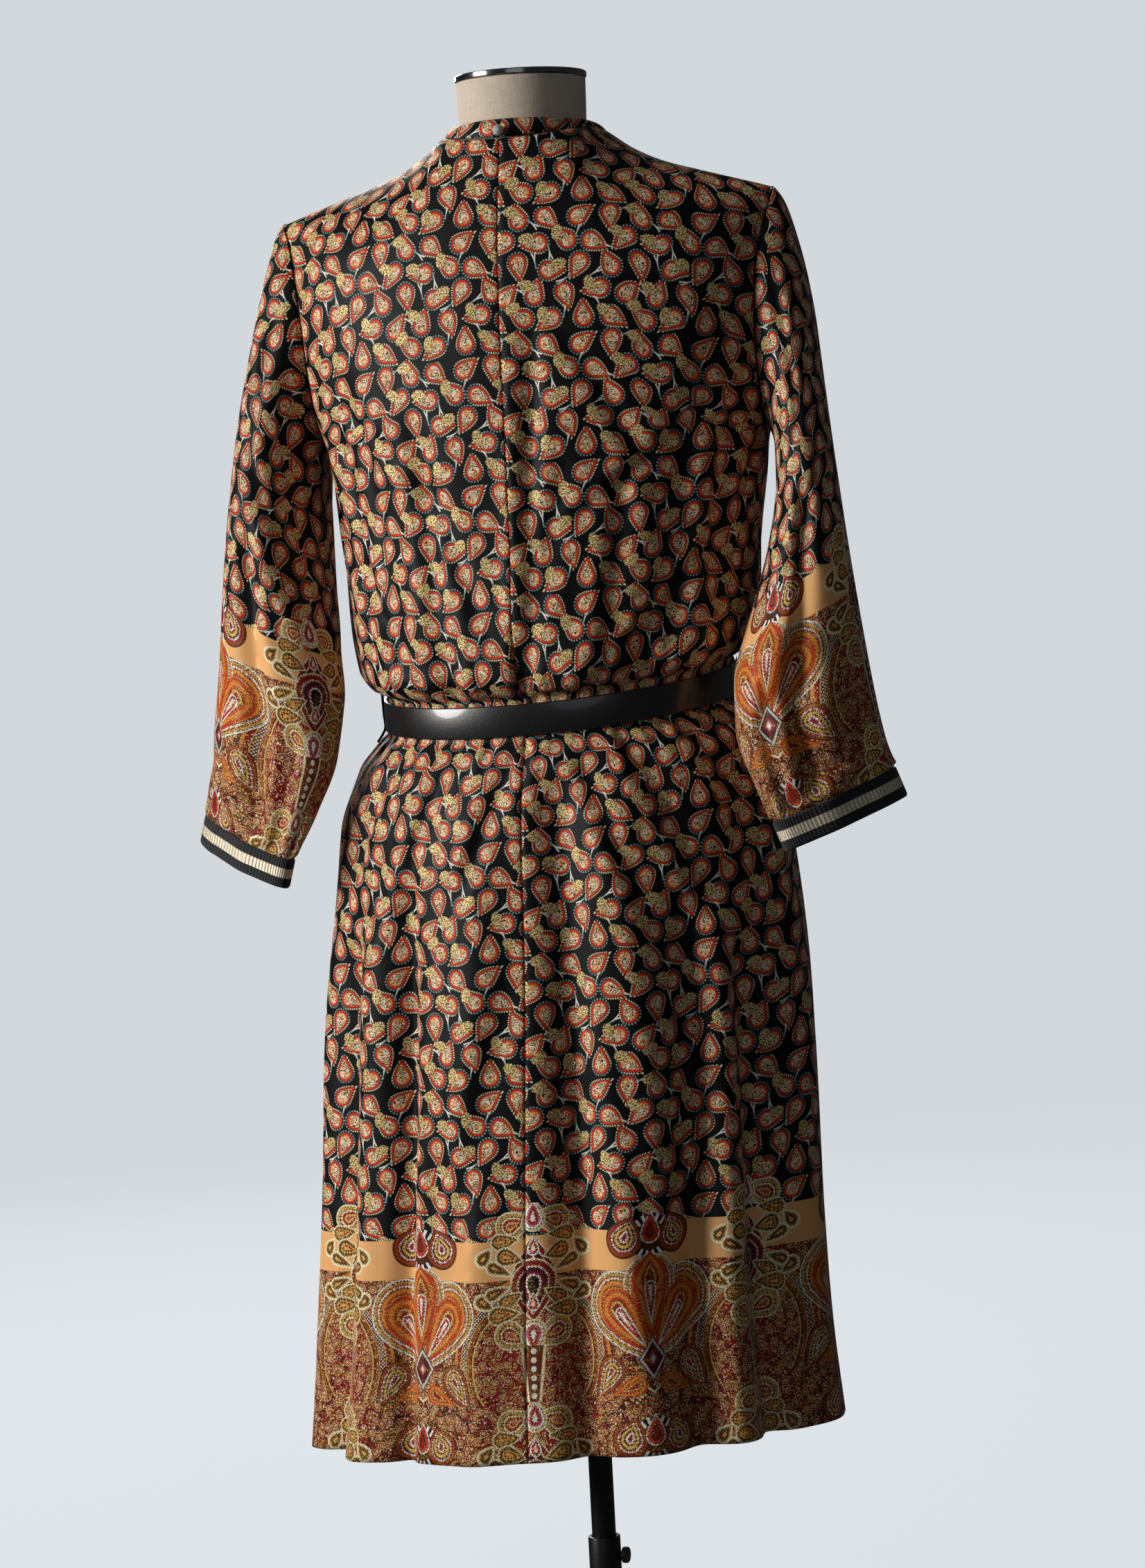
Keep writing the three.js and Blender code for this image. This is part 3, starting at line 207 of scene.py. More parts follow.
CREASE_LIP_AWAY = 1.9  # and how far away it is, in half widths
GATHERS_BACK = 34
GATHERS_FRONT = 24
GATHER_DEPTH = 1.6
GATHER_REACH = 34
GATHER_START = 3  # gathers begin this far from the belt's edge
GATHER_RISE = 8
FINE_GATHERS = 1.15
FOLD_FADE = 46
FOLD_FOOT = 12
FOLD_DEEPEN = 0.8
DEEP_FROM = 960
DEEP_OVER = 220

SLEEVE_NAMES = ("along", "outerX", "outerZ", "innerX", "innerZ", "y", "half", "turn", "free")
SLEEVE_ROWS = tuple(
    (i / 12,) + row
    for i, row in enumerate(
        (
            (205.5, 1436, 184, 1250, -2, 53, 0, 0),
            (214, 1425, 186, 1246, -1, 54, 0, 0.2),
            (223, 1404, 189, 1238, 1, 55, 2, 0.45),
            (233, 1370, 191, 1222, 5, 55, 4, 0.75),
            (242, 1325, 191, 1198, 11, 54, 7, 1),
            (251, 1270, 187, 1166, 20, 52, 11, 1),
            (260, 1208, 180, 1128, 30, 49, 16, 1),
            (269, 1144, 170, 1088, 39, 45, 21, 1),
            (278, 1084, 161, 1046, 47, 41, 24, 1),
            (286, 1032, 163, 1004, 53, 36, 26, 1),
            (292, 996, 177, 965, 56, 28, 27, 1),
            (295, 976, 189, 941, 58, 20, 27, 1),
            (296, 967, 196, 929, 59, 15, 27, 1),
        )
    )
)
# How each sleeve hangs: side, the outside and inside of its elbow, its cuff and how much higher that is,
# and where round it a palmette of the border lies, in degrees from its outside towards the back.
SLEEVE_HANG = {
    "left": dict(side=1, outside=0, inside=0, cuff=6, lift=-8, palmette=48),
    "right": dict(side=-1, outside=-13, inside=3, cuff=-9, lift=10, palmette=128),
}
# Creases of a sleeve: place along it, angle round it, depth, half length in degrees, half width, slant.
SLEEVE_CREASES = (
    (0.42, 125, 5, 38, 0.035, 0.0006),
    (0.58, 140, 6, 42, 0.035, 0.0006),
    (0.72, 120, 5, 46, 0.03, 0.0006),
    (0.62, -110, 5, 40, 0.04, 0.0006),
    (0.8, 30, 4, 40, 0.03, 0.0006),
    (0.3, 100, 1.6, 34, 0.02, -0.0008),
    (0.36, 60, 1.4, 30, 0.02, 0.001),
    (0.5, 85, 2.0, 34, 0.018, 0.0012),
    (0.66, 70, 2.2, 30, 0.018, -0.001),
    (0.77, 160, 2.4, 34, 0.02, 0.0012),
    (0.85, 95, 2.2, 30, 0.018, -0.0006),
    (0.55, -60, 1.8, 34, 0.02, 0.001),
    (0.74, -90, 2.2, 36, 0.02, -0.001),
)
# Folds that run down a sleeve: angle at the top and the bottom, where each starts and ends, depth and
# half width in degrees.
SLEEVE_FOLDS = (
    (84, 112, 0.4, 0.97, 9, 12),
    (128, 140, 0.62, 1.02, 6, 10),
    (44, 66, 0.66, 1.02, 5, 9),
    (-70, -60, 0.5, 1.0, 6, 14),
    (160, 168, 0.55, 0.95, 5, 12),
    (66, 80, 0.08, 0.4, 3, 11),
)
CUFF_GATHERS = 12
CUFF_GATHER_DEPTH = 2.2


# ---- Curves through tables --------------------------------------------------------------------------
def smooth(value):
    """3 t squared less 2 t cubed, with t held between 0 and 1."""
    t = np.clip(value, 0, 1)
    return t * t * (3 - 2 * t)


def bell(value):
    """A Gaussian: 1 in its middle and 1 / e where the value is 1."""
    return np.exp(-(value**2))


def unit(vector):
    """Vectors divided by their lengths."""
    return vector / np.linalg.norm(vector, axis=-1, keepdims=True)


def curve(at, values):
    """A cubic through each pair of rows; its slope at a row is the harmonic mean of the slopes beside it."""
    slopes = np.diff(values) / np.diff(at)
    product = slopes[:-1] * slopes[1:]
    total = slopes[:-1] + slopes[1:]
    inner = np.where(product > 0, 2 * product / np.where(total == 0, 1, total), 0)
    tangents = np.concatenate([slopes[:1], inner, slopes[-1:]])

    def along(where):
        x = np.clip(where, at[0], at[-1])
        i = np.clip(np.searchsorted(at, x, side="right") - 1, 0, len(at) - 2)
        step = at[i + 1] - at[i]
        t = (x - at[i]) / step
        bend = smooth(t)
        pull = step * t * (1 - t) * ((1 - t) * tangents[i] - t * tangents[i + 1])
        return values[i] * (1 - bend) + values[i + 1] * bend + pull

    return along


def curves(names, rows):
    """One curve for each column of a table, by its first column."""
    rows = np.array(rows, float)
    return {name: curve(rows[:, 0], rows[:, i]) for i, name in enumerate(names) if i}


body = curves(BODY_NAMES, BODY_ROWS)
chest = curves(CHEST_NAMES, CHEST_ROWS)
armhole = curves(ARMHOLE_NAMES, ARMHOLE_ROWS)
shoulder = curves(SHOULDER_NAMES, SHOULDER_ROWS)
sleeve_row = curves(SLEEVE_NAMES, SLEEVE_ROWS)


# ---- The body's cloth -------------------------------------------------------------------------------
def wrapped(degrees):
    """An angle brought between -180 and 180."""
    return np.mod(degrees + 180, 360) - 180


def fold_depth(degrees, level, arc_per_degree):
    """The sum of troughs, each a Gaussian across its fold that grows below the fold's top, and gathers.

    The hanging cloth's folds are deeper than the solid's, which stays clear of the form.
    """
    depth = np.zeros(np.broadcast(degrees, level).shape)
    deepen = 1 + FOLD_DEEPEN * smooth((DEEP_FROM - level) / DEEP_OVER)
    for start, end, top, bottom, deep, wide in FOLDS:
        share = np.clip((top - level) / (top - bottom), 0, 1)
        away = wrapped(degrees - start - (end - start) * share)
        ends = smooth((top - level) / FOLD_FADE) * smooth((level - bottom) / FOLD_FOOT)
        depth = depth + deep * deepen * ends * bell(away * arc_per_degree / wide)
    from_belt = np.abs(level - BELT_LEVEL) - BELT_WIDTH / 2
    gather = smooth((from_belt - GATHER_START) / GATHER_RISE) * smooth(1 - from_belt / GATHER_REACH)
    count = np.where(np.cos(np.radians(degrees)) > 0, GATHERS_BACK, GATHERS_FRONT)
    return depth + GATHER_DEPTH * gather * np.cos(count * np.radians(degrees))


def crease_depth(degrees, level, arc_per_degree):
    """Shallow troughs along slanted lines, fine uneven gathers by the belt and a slow ripple of the cloth."""
    depth = np.zeros(np.broadcast(degrees, level).shape)
    for angle_a, level_a, angle_b, level_b, deep, wide in CREASES:
        share = np.clip((level - level_a) / (level_b - level_a), -0.2, 1.2)
        away = wrapped(degrees - angle_a - (angle_b - angle_a) * share) * arc_per_degree / wide
        fade = smooth((share + 0.2) / 0.35) * smooth((1.2 - share) / 0.5)
        across = bell(away) - CREASE_LIP * bell(away - CREASE_LIP_AWAY)
        depth = depth + CREASE_DEEPEN * deep * fade * across
    turn = np.radians(degrees)
    from_belt = np.abs(level - BELT_LEVEL) - BELT_WIDTH / 2
    fine = np.cos(57 * turn + 2.1 * np.sin(5 * turn)) + 0.7 * np.cos(83 * turn + 1.7 * np.sin(7 * turn + 1))
    uneven = 0.62 + 0.38 * np.sin(9 * turn + 0.8)
    reach = smooth((from_belt - 1) / 5) * np.exp(-np.maximum(from_belt - 6, 0) / (20 + 12 * uneven))
    ripple = 0.5 * np.sin(13 * turn + level / 61) + 0.35 * np.sin(21 * turn - level / 43 + 2)
    away_from_belt = smooth((from_belt - 14) / 40)
    return depth + FINE_GATHERS * fine * uneven * reach + ripple * away_from_belt


def lower_point(degrees, level):
    """Half an ellipse behind and half in front, tilted, with the folds taken off along its normal."""
    sine, cosine = np.sin(np.radians(degrees)), np.cos(np.radians(degrees))
    side = body["side"](level)
    depth = np.where(cosine >= 0, body["back"](level), body["front"](level))
    arc = np.hypot(side * cosine, depth * sine) * math.radians(1)
    inward = fold_depth(degrees, level, arc) + crease_depth(degrees, level, arc)
    length = np.hypot(sine / side, cosine / depth)
    x = body["shift"](level) + side * sine - sine / side / length * inward
    y = depth * cosine - cosine / depth / length * inward
    return np.stack([x, y, level + body["rise"](level) * x + body["pitch"](level) * y], -1)


def nape_z(out):
    return NAPE_Z + (NECK_POINT_Z - NAPE_Z) * (out / NECK_HOLE) ** 2


def upper_depth(x, z, facing):
    """The chest's ellipse, rounded over to the shoulder line or the nape along a quarter circle."""
    out = np.abs(x)
    chest_depth = chest["back"](z) if facing > 0 else -chest["front"](z)
    full = chest_depth * np.sqrt(np.maximum(0, 1 - (out / chest["side"](z)) ** 2))
    nape = (out < NECK_HOLE) & (facing > 0)
    round_neck = NECK_AXIS_Y + np.sqrt(np.maximum(NECK_HOLE**2 - out**2, 0))
    edge = np.where(nape, round_neck, shoulder["y"](out))
    below = np.clip((np.where(nape, nape_z(out), shoulder["z"](out)) - z) / SHOULDER_ROUND, 0, 1)
    return edge + (full - edge) * np.sqrt(1 - (1 - below) ** 2)


def upper_point(across, share, facing):
    """From -1 to 1 between the armholes, and from 0 at the underarm to 1 at the top edge."""
    spread = np.radians(armhole["back" if facing > 0 else "front"](share))
    x = armhole["out"](share) * np.sin(across * spread) / np.sin(spread)
    out = np.abs(x)
    neckline = nape_z(out) if facing > 0 else V_POINT_Z + (NECK_POINT_Z - V_POINT_Z) * out / NECK_HOLE
    top = np.where(out >= NECK_HOLE, shoulder["z"](out), neckline)
    z = UNDERARM_Z + (top - UNDERARM_Z) * share
    side = chest["side"](z)
    sine = np.clip(x / side, -1, 1)
    depth = chest["back"](z) if facing > 0 else chest["front"](z)
    arc = np.hypot(side * np.sqrt(1 - sine**2), depth * sine) * math.radians(1)
    degrees = np.degrees(np.arcsin(sine))
    degrees = degrees if facing > 0 else 180 - degrees
    inward = fold_depth(degrees, z, arc) + crease_depth(degrees, z, arc)
    y = upper_depth(x, z, facing) - facing * inward * (1 - share)
    return np.stack([x, y, z], -1)


def cloth_point(across, row, facing):
    """Both stretches in one: row runs from 0 at the hem to 1 at the underarm and 2 at the top."""
    across, row = np.broadcast_arrays(across, row)
    level = HEM_LEVEL + (UNDERARM_Z - HEM_LEVEL) * np.clip(row, 0, 1)
    degrees = across * 90 if facing > 0 else 180 - across * 90
    low = lower_point(degrees, level)
    high = upper_point(across, np.clip(row - 1, 0, 1), facing)
    return np.where((row > 1)[..., None], high, low)


# ---- Meshes -----------------------------------------------------------------------------------------
def normals_of(points):
    """The cross product of the differences along the grid's two directions, as unit vectors."""
    down = np.gradient(points, axis=0)
    over = np.gradient(points, axis=1)
    normal = np.cross(over, down)
    length = np.linalg.norm(normal, axis=-1, keepdims=True)
    return normal / np.maximum(length, 1e-9)


def corners_of(grid):
    """The four corners of each quad of a grid of numbers, in their order round it."""
    return np.stack([grid[:-1, :-1], grid[:-1, 1:], grid[1:, 1:], grid[1:, :-1]], -1).reshape(-1, 4)


def numbered(points, around):
    """The number of each point of a grid, its first column once more at the end where it closes."""
    rows, columns = points.shape[:2]
    index = np.arange(rows * columns).reshape(rows, columns)
    return np.concatenate([index, index[:, :1]], axis=1) if around else index


def added(name, data):
    """An object of the scene with that mesh, lamp or camera."""
    made = bpy.data.objects.new(name, data)
    bpy.context.scene.collection.objects.link(made)
    return made


def merged(mesh):
    """Points that lie on each other are made one, which closes a turned piece at its poles."""
    shape = bmesh.new()
    shape.from_mesh(mesh)
    bmesh.ops.remove_doubles(shape, verts=shape.verts, dist=1e-6)
    shape.to_mesh(mesh)
    shape.free()


def surface(name, points, uv, paint, node, wall=0.0, around=False, crisp=None, poles=False, hem=None):
    """A grid of points in millimetres made a mesh of quads that face away from the grid's own middle.

    Its lowest quads, up to the border's top, take the hem's finish where there is one. A grid that goes
    around closes on its first column, crisp is the angle in degrees from which edges stay sharp, and
    poles says that its end rows are single points.
    """
    index = numbered(points, around)
    quads = corners_of(index)
    places = corners_of(np.arange(index.size).reshape(index.shape))
    flat = points.reshape(-1, 3)
    diagonal_a = flat[quads[:, 2]] - flat[quads[:, 0]]
    diagonal_b = flat[quads[:, 3]] - flat[quads[:, 1]]
    middle = np.repeat(points.mean(axis=1), index.shape[1] - 1, axis=0)[: len(quads)]
    outward = flat[quads].mean(axis=1) - middle
    if np.sum(np.cross(diagonal_a, diagonal_b) * outward) < 0:
        quads, places = quads[:, ::-1], places[:, ::-1]
    mesh = bpy.data.meshes.new(name)
    mesh.vertices.add(len(flat))
    mesh.vertices.foreach_set("co", (flat * MM).ravel())
    mesh.loops.add(quads.size)
    mesh.loops.foreach_set("vertex_index", quads.ravel().astype(np.int32))
    mesh.polygons.add(len(quads))
    mesh.polygons.foreach_set("loop_start", np.arange(0, quads.size, 4, dtype=np.int32))
    mesh.polygons.foreach_set("use_smooth", np.ones(len(quads), bool))
    layer = mesh.uv_layers.new(name="cut")
    layer.data.foreach_set("uv", (uv.reshape(-1, 2)[places.ravel()] * MM).ravel())
    if hem:
        height = uv[..., 1].ravel()[places].mean(axis=1)
        low = (height < BORDER_TOP + 1).astype(np.int32)
        mesh.polygons.foreach_set("material_index", low)
    mesh.update(calc_edges=True)
    if poles:
        merged(mesh)
    if crisp is not None:
        mesh.set_sharp_from_angle(angle=math.radians(crisp))
    for finish in (paint, hem) if hem else (paint,):
        mesh.materials.append(finish.material)
    piece = added(name, mesh)
    if wall:
        solidify = piece.modifiers.new("wall", "SOLIDIFY")
        solidify.thickness = wall * MM
        solidify.offset = -1
    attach(piece, NODES[node]["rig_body"])
    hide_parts(node)
    return piece


# ---- Shader maths -----------------------------------------------------------------------------------
class Wire:
    """A socket of a finish's nodes: sums, products and comparisons on it add their own Math nodes."""

    def __init__(self, finish, socket):
        self.finish = finish
        self.socket = socket

    def __add__(self, other):
        return self.finish.math("ADD", self, other)

    __radd__ = __add__

    def __mul__(self, other):
        return self.finish.math("MULTIPLY", self, other)

    __rmul__ = __mul__

    def __sub__(self, other):
        return self.finish.math("SUBTRACT", self, other)

    def __rsub__(self, other):
        return self.finish.math("SUBTRACT", other, self)

    def __truediv__(self, other):
        return self.finish.math("DIVIDE", self, other)

    def __rtruediv__(self, other):
        return self.finish.math("DIVIDE", other, self)

    def __neg__(self):
        return self.finish.math("MULTIPLY", self, -1.0)

    def __abs__(self):
        return self.finish.math("ABSOLUTE", self)

    def __pow__(self, other):
        return self.finish.math("POWER", self, other)

    def __lt__(self, other):
        return self.finish.math("LESS_THAN", self, other)

    def __gt__(self, other):
        return self.finish.math("GREATER_THAN", self, other)


class Finish:
    """One material and the nodes that it is made of."""

    def __init__(self, name, slot, **constants):
        self.material = bpy.data.materials.new(name)
        self.material.use_nodes = True
        self.tree = self.material.node_tree
        self.slot = slot
        self.shader = self.tree.nodes["Principled BSDF"]
        for key, value in constants.items():
            self.shader.inputs[key.replace("_", " ")].default_value = value

    def node(self, kind, settings=None, inputs=None, output=0):
        """A node of that type: its settings first, then the values or links of its sockets."""
        made = self.tree.nodes.new(kind)
        for key, value in (settings or {}).items():
            setattr(made, key, value)
        for key, value in (inputs or {}).items():
            if isinstance(value, Wire):
                self.tree.links.new(value.socket, made.inputs[key])
            else:
                made.inputs[key].default_value = value
        return Wire(self, made.outputs[output])

    def math(self, operation, *values, clamp=False):
        settings = {"operation": operation, "use_clamp": clamp}
        return self.node("ShaderNodeMath", settings, dict(enumerate(values)))

    def vector(self, operation, *values):
        output = 1 if operation in ("DOT_PRODUCT", "LENGTH", "DISTANCE") else 0
        return self.node("ShaderNodeVectorMath", {"operation": operation}, dict(enumerate(values)), output)

    def join(self, x, y, z=0.0):
        return self.node("ShaderNodeCombineXYZ", None, {0: x, 1: y, 2: z})

    def part(self, vector, which):
        return self.node("ShaderNodeSeparateXYZ", None, {0: vector}, which)

    def mix(self, factor, a, b):
        """Colour a where the factor is 0 and b where it is 1."""
        return self.node("ShaderNodeMix", {"data_type": "RGBA"}, {0: factor, 6: a, 7: b}, 2)

    def lay(self, color, over, value, edge, soft=0.3):
        """A colour with another over it where the value is below the edge."""
        return self.mix(self.inside(value, edge, soft), color, over)

    def choose(self, factor, a, b):
        """Vector a where the factor is 0 and b where it is 1."""
        return self.node("ShaderNodeMix", {"data_type": "VECTOR"}, {0: factor, 4: a, 5: b}, 1)

    def inside(self, value, edge, soft=0.3):
        """1 below the edge and 0 above it, with a soft step of that width."""
        return self.math("MULTIPLY_ADD", value, -1 / soft, edge / soft + 0.5, clamp=True)

    def between(self, value, low, high, soft=0.3):
        return self.inside(abs(value - (low + high) / 2), (high - low) / 2, soft)

    def noise(self, where, scale, detail=2.0, rough=0.5, output=0):
        settings = {"noise_dimensions": "3D"}
        return self.node("ShaderNodeTexNoise", settings, {0: where, 2: scale, 3: detail, 4: rough}, output)

    def cells(self, where, scale, output=0):
        """Distance from the closest of the points scattered over a plane, or that point's own tint."""
        settings = {"voronoi_dimensions": "2D"}
        return self.node("ShaderNodeTexVoronoi", settings, {"Vector": where, "Scale": scale}, output)

    def ramp(self, value, *stops, steps=False):
        """A colour ramp, blended or in steps: each stop is its place and its colour."""
        made = self.tree.nodes.new("ShaderNodeValToRGB")
        made.color_ramp.interpolation = "CONSTANT" if steps else "LINEAR"
        elements = made.color_ramp.elements
        for _ in stops[2:]:
            elements.new(0.5)
        for element, (place, color) in zip(elements, stops):
            element.position = place
            element.color = color
        self.tree.links.new(value.socket, made.inputs[0])
        return Wire(self, made.outputs[0])

    def bump(self, height, strength, distance):
        return self.node(
            "ShaderNodeBump", None, {"Height": height, "Strength": strength, "Distance": distance}
        )

    def cut(self):
        """The cloth's own flat place in millimetres."""
        uv = self.node("ShaderNodeUVMap", {"uv_map": "cut"})
        return self.vector("MULTIPLY", uv, (1000.0, 1000.0, 0.0))

    def feed(self, **sockets):
        for key, value in sockets.items():
            self.tree.links.new(value.socket, self.shader.inputs[key.replace("_", " ")])


def ink(code, strength=1.0):
    """A colour in linear light from its six hex digits."""
    parts = [int(code[i : i + 2], 16) / 255 for i in (0, 2, 4)]
    linear = [((c + 0.055) / 1.055) ** 2.4 if c > 0.04045 else c / 12.92 for c in parts]
    return tuple(strength * c for c in linear) + (1.0,)


# ---- The printed cloth ------------------------------------------------------------------------------
GROUND = ink("08080c")
CREAM = ink("faecc0")
WHITE = ink("fbf5ea")
GOLD = ink("e6bd60")
ORANGE = ink("df8a35")
SCARLET = ink("cf3a1f")
CRIMSON = ink("8f1f26")
BROWN = ink("6b3417")
PEACH = ink("f2b676")
OLIVE = ink("85703a")
TEAL = ink("86a8a3")
BLACK = ink("121115")

# One repeat of the leaves: place of each leaf's middle in millimetres and the way its tip points.
LEAF_TILE = (96, 100)
LEAVES = (
    (11, 9, 200), (35, 12, 75), (61, 8, 310), (84, 11, 20), (0, 29, 120), (23, 31, 335),
    (48, 28, 240), (73, 30, 95), (13, 50, 50), (37, 51, 285), (59, 48, 165), (85, 52, 250),
    (1, 70, 300), (25, 69, 195), (48, 72, 30), (71, 68, 340), (12, 90, 255), (36, 91, 130),
    (62, 89, 210), (86, 90, 60),
)
LEAF_RADIUS = 6.9
LEAF_LENGTH = 14
LEAF_SHIFT = 2.6  # the round end's middle lies this far behind the leaf's middle
LEAF_PEARLS = 26
# Oval blobs of gold foil, and the forked stems between leaves: middle and direction.
FOIL_SPOTS = (
    (18, 15, 30), (67, 13, 100), (91, 19, 150), (29, 36, 70), (79, 36, 20), (53, 52, 160),
    (7, 76, 40), (54, 77, 100), (79, 73, 170), (91, 95, 10),
)
STEM_SPOTS = (
    (23, 22, 65), (49, 16, 100), (86, 33, 200), (49, 40, 330), (25, 44, 150), (72, 55, 80),
    (13, 64, 20), (60, 62, 260), (37, 79, 110), (74, 85, 220), (1, 96, 160),
)


def nearest(paint, place, spots, stretch):
    """The way from the closest spot of the repeat, along its own direction and across it.

    The distance squared is made less along the spot's own length, so long spots keep their ends.
    """
    half = (LEAF_TILE[0] / 2, LEAF_TILE[1] / 2, 10.0)
    best, least = None, None
    for x, y, degrees in spots:
        turn = math.radians(degrees)
        moved = paint.vector("SUBTRACT", place, (x, y, -turn))
        away = paint.vector("WRAP", moved, half, tuple(-h for h in half))
        lengthways = paint.vector("DOT_PRODUCT", away, (math.cos(turn), math.sin(turn), 0.0))
        square = paint.vector("DOT_PRODUCT", away, away) - turn**2
        measure = square - lengthways * lengthways * stretch
        if best is None:
            best, least = away, measure
            continue
        best = paint.choose(measure < least, best, away)
        least = paint.math("MINIMUM", measure, least)
    turn = paint.part(best, 2)
    settings = {"rotation_type": "Z_AXIS"}
    local = paint.node("ShaderNodeVectorRotate", settings, {"Vector": best, "Angle": -turn})
    return paint.part(local, 0), paint.part(local, 1)


def leaf_distance(paint, a, b, radius, length, curl=0.0):
    """How far outside a leaf: a round end behind its middle, and a tip at that length before it."""
    ahead = paint.math("MAXIMUM", a, 0.0)
    behind = paint.math("MINIMUM", a, 0.0)
    side = b - ahead * ahead * curl if curl else b
    away = paint.vector("LENGTH", paint.join(behind, side))
    return away - radius + (ahead * (1 / length)) ** 1.6 * radius


def leaves_over(paint, place, color, gloss):
    """Stems, leaves with pearls round them, and foil blobs, laid over a ground colour."""
    a, b = nearest(paint, place, STEM_SPOTS, 0.3)
    fork = paint.math("MAXIMUM", a - 1.0, 0.0)
    line = abs(abs(b) - fork * 0.28)
    stem = paint.inside(line, 0.55, 0.5) * paint.inside(abs(a), 6.5, 0.5)
    color = paint.mix(stem, color, paint.lay(WHITE, TEAL, a, -1.0, 3.0))

    a, b = nearest(paint, place, LEAVES, 0.42)
    a = a + LEAF_SHIFT
    edge = leaf_distance(paint, a, b, LEAF_RADIUS, LEAF_LENGTH, 0.018)
    around = paint.math("ARCTAN2", b, a + -3.0)
    beads = abs(paint.math("FRACT", around * (LEAF_PEARLS / math.tau)) - 0.5) * 2.6
    bead = paint.vector("LENGTH", paint.join(edge - 1.35, beads))
    pearl = paint.inside(bead, 0.8, 0.45)
    color = paint.mix(pearl * 0.85, color, paint.lay(CREAM, TEAL, a, -1.0, 4.0))
    grain = paint.noise(place, 0.42, 2.0, 0.7)
    marble = paint.ramp(
        grain,
        (0.36, BLACK), (0.42, BROWN), (0.46, CREAM), (0.5, WHITE), (0.54, CREAM), (0.58, ORANGE),
        (0.64, BROWN),
    )
    veins = paint.math("SINE", (a + abs(b) * 0.8) * 2.6) > 0.25
    tip = paint.inside(-a, -3.0, 1.5)
    fill = paint.mix(veins * tip, marble, OLIVE)
    eye = abs(paint.vector("LENGTH", paint.join(a + 2.4, b - 1.0)) - 2.0)
    fill = paint.lay(fill, ORANGE, eye, 0.55, 0.4)
    leaf = paint.lay(SCARLET, fill, edge, -1.9, 0.3)
    color = paint.lay(color, leaf, edge, 0.1, 0.4)

    a, b = nearest(paint, place, FOIL_SPOTS, 0.3)
    ragged = paint.noise(place, 0.9, 1.0, 0.5)
    oval = paint.vector("LENGTH", paint.join(a / 6.2, b / 4.3)) + (ragged - 0.5) * 0.5
    blob = paint.inside(oval, 1.0, 0.1)
    flake = paint.noise(place, 0.8, 2.0, 0.7)
    foil = paint.ramp(flake, (0.38, BLACK), (0.46, OLIVE), (0.52, GOLD), (0.58, CREAM))
    color = paint.mix(blob, color, foil)
    return color, gloss + blob * 0.6


# The border's ornaments, one half of a repeat: across from the column's middle, above the hem, the way
# the tip points, radius, length and palette. The palmette's middle is at half the repeat.
BORDER_HALF = 105
BORDER_LIFT = 158
PEACH_LOW = 147
PEACH_HIGH = 179
BORDER_TOP = 206
ARCH_SIZE = (72.0, 74.0)  # half its width, and its height above its middle
ARCH_LIFT = 78.0
FAN_LIFT = 172.0
LOZENGE_SIZE = (12.0, 18.0)
LOZENGE_LIFT = 76.0
STALK_TOP = 92.0
STALK_PEARLS = 7.0
RUST = ink("9a4a1c")
UMBER = ink("522614")
PLUM = ink("43182a")
ROSE = ink("b4525c")
PALETTES = {
    "plume": (
        (0.0, UMBER), (0.1, RUST), (0.24, CRIMSON), (0.34, WHITE), (0.4, UMBER), (0.52, GOLD),
        (0.66, BROWN), (0.78, WHITE), (0.86, CRIMSON),
    ),
    "heart": (
        (0.0, WHITE), (0.05, BLACK), (0.08, GOLD), (0.13, RUST), (0.2, WHITE), (0.25, BROWN),
        (0.3, ORANGE), (0.42, RUST), (0.5, GOLD),
    ),
    "lobe": (
        (0.0, SCARLET), (0.13, RUST), (0.2, ORANGE), (0.42, SCARLET), (0.52, BROWN), (0.62, GOLD),
        (0.74, CRIMSON),
    ),
    "spear": ((0.0, WHITE), (0.25, BLACK), (0.4, SCARLET), (0.7, WHITE)),
    "leaf": ((0.0, CREAM), (0.16, OLIVE), (0.3, UMBER), (0.46, GOLD), (0.62, CRIMSON), (0.8, GOLD)),
    "flower": ((0.0, CREAM), (0.14, OLIVE), (0.24, WHITE), (0.42, ROSE), (0.62, CRIMSON), (0.8, WHITE)),
    "petal": (
        (0.0, CREAM), (0.12, OLIVE), (0.2, GOLD), (0.32, UMBER), (0.42, CREAM), (0.54, CRIMSON),
        (0.72, GOLD), (0.84, ROSE),
    ),
    "shield": (
        (0.0, CREAM), (0.06, BROWN), (0.14, CRIMSON), (0.3, CREAM), (0.35, PLUM), (0.56, CRIMSON),
        (0.66, WHITE), (0.72, BLACK),
    ),
    "hook": ((0.0, CREAM), (0.3, OLIVE), (0.5, BROWN), (0.8, GOLD)),
    "crown": ((0.0, WHITE), (0.12, BLACK), (0.2, SCARLET), (0.5, UMBER), (0.8, CRIMSON)),
}
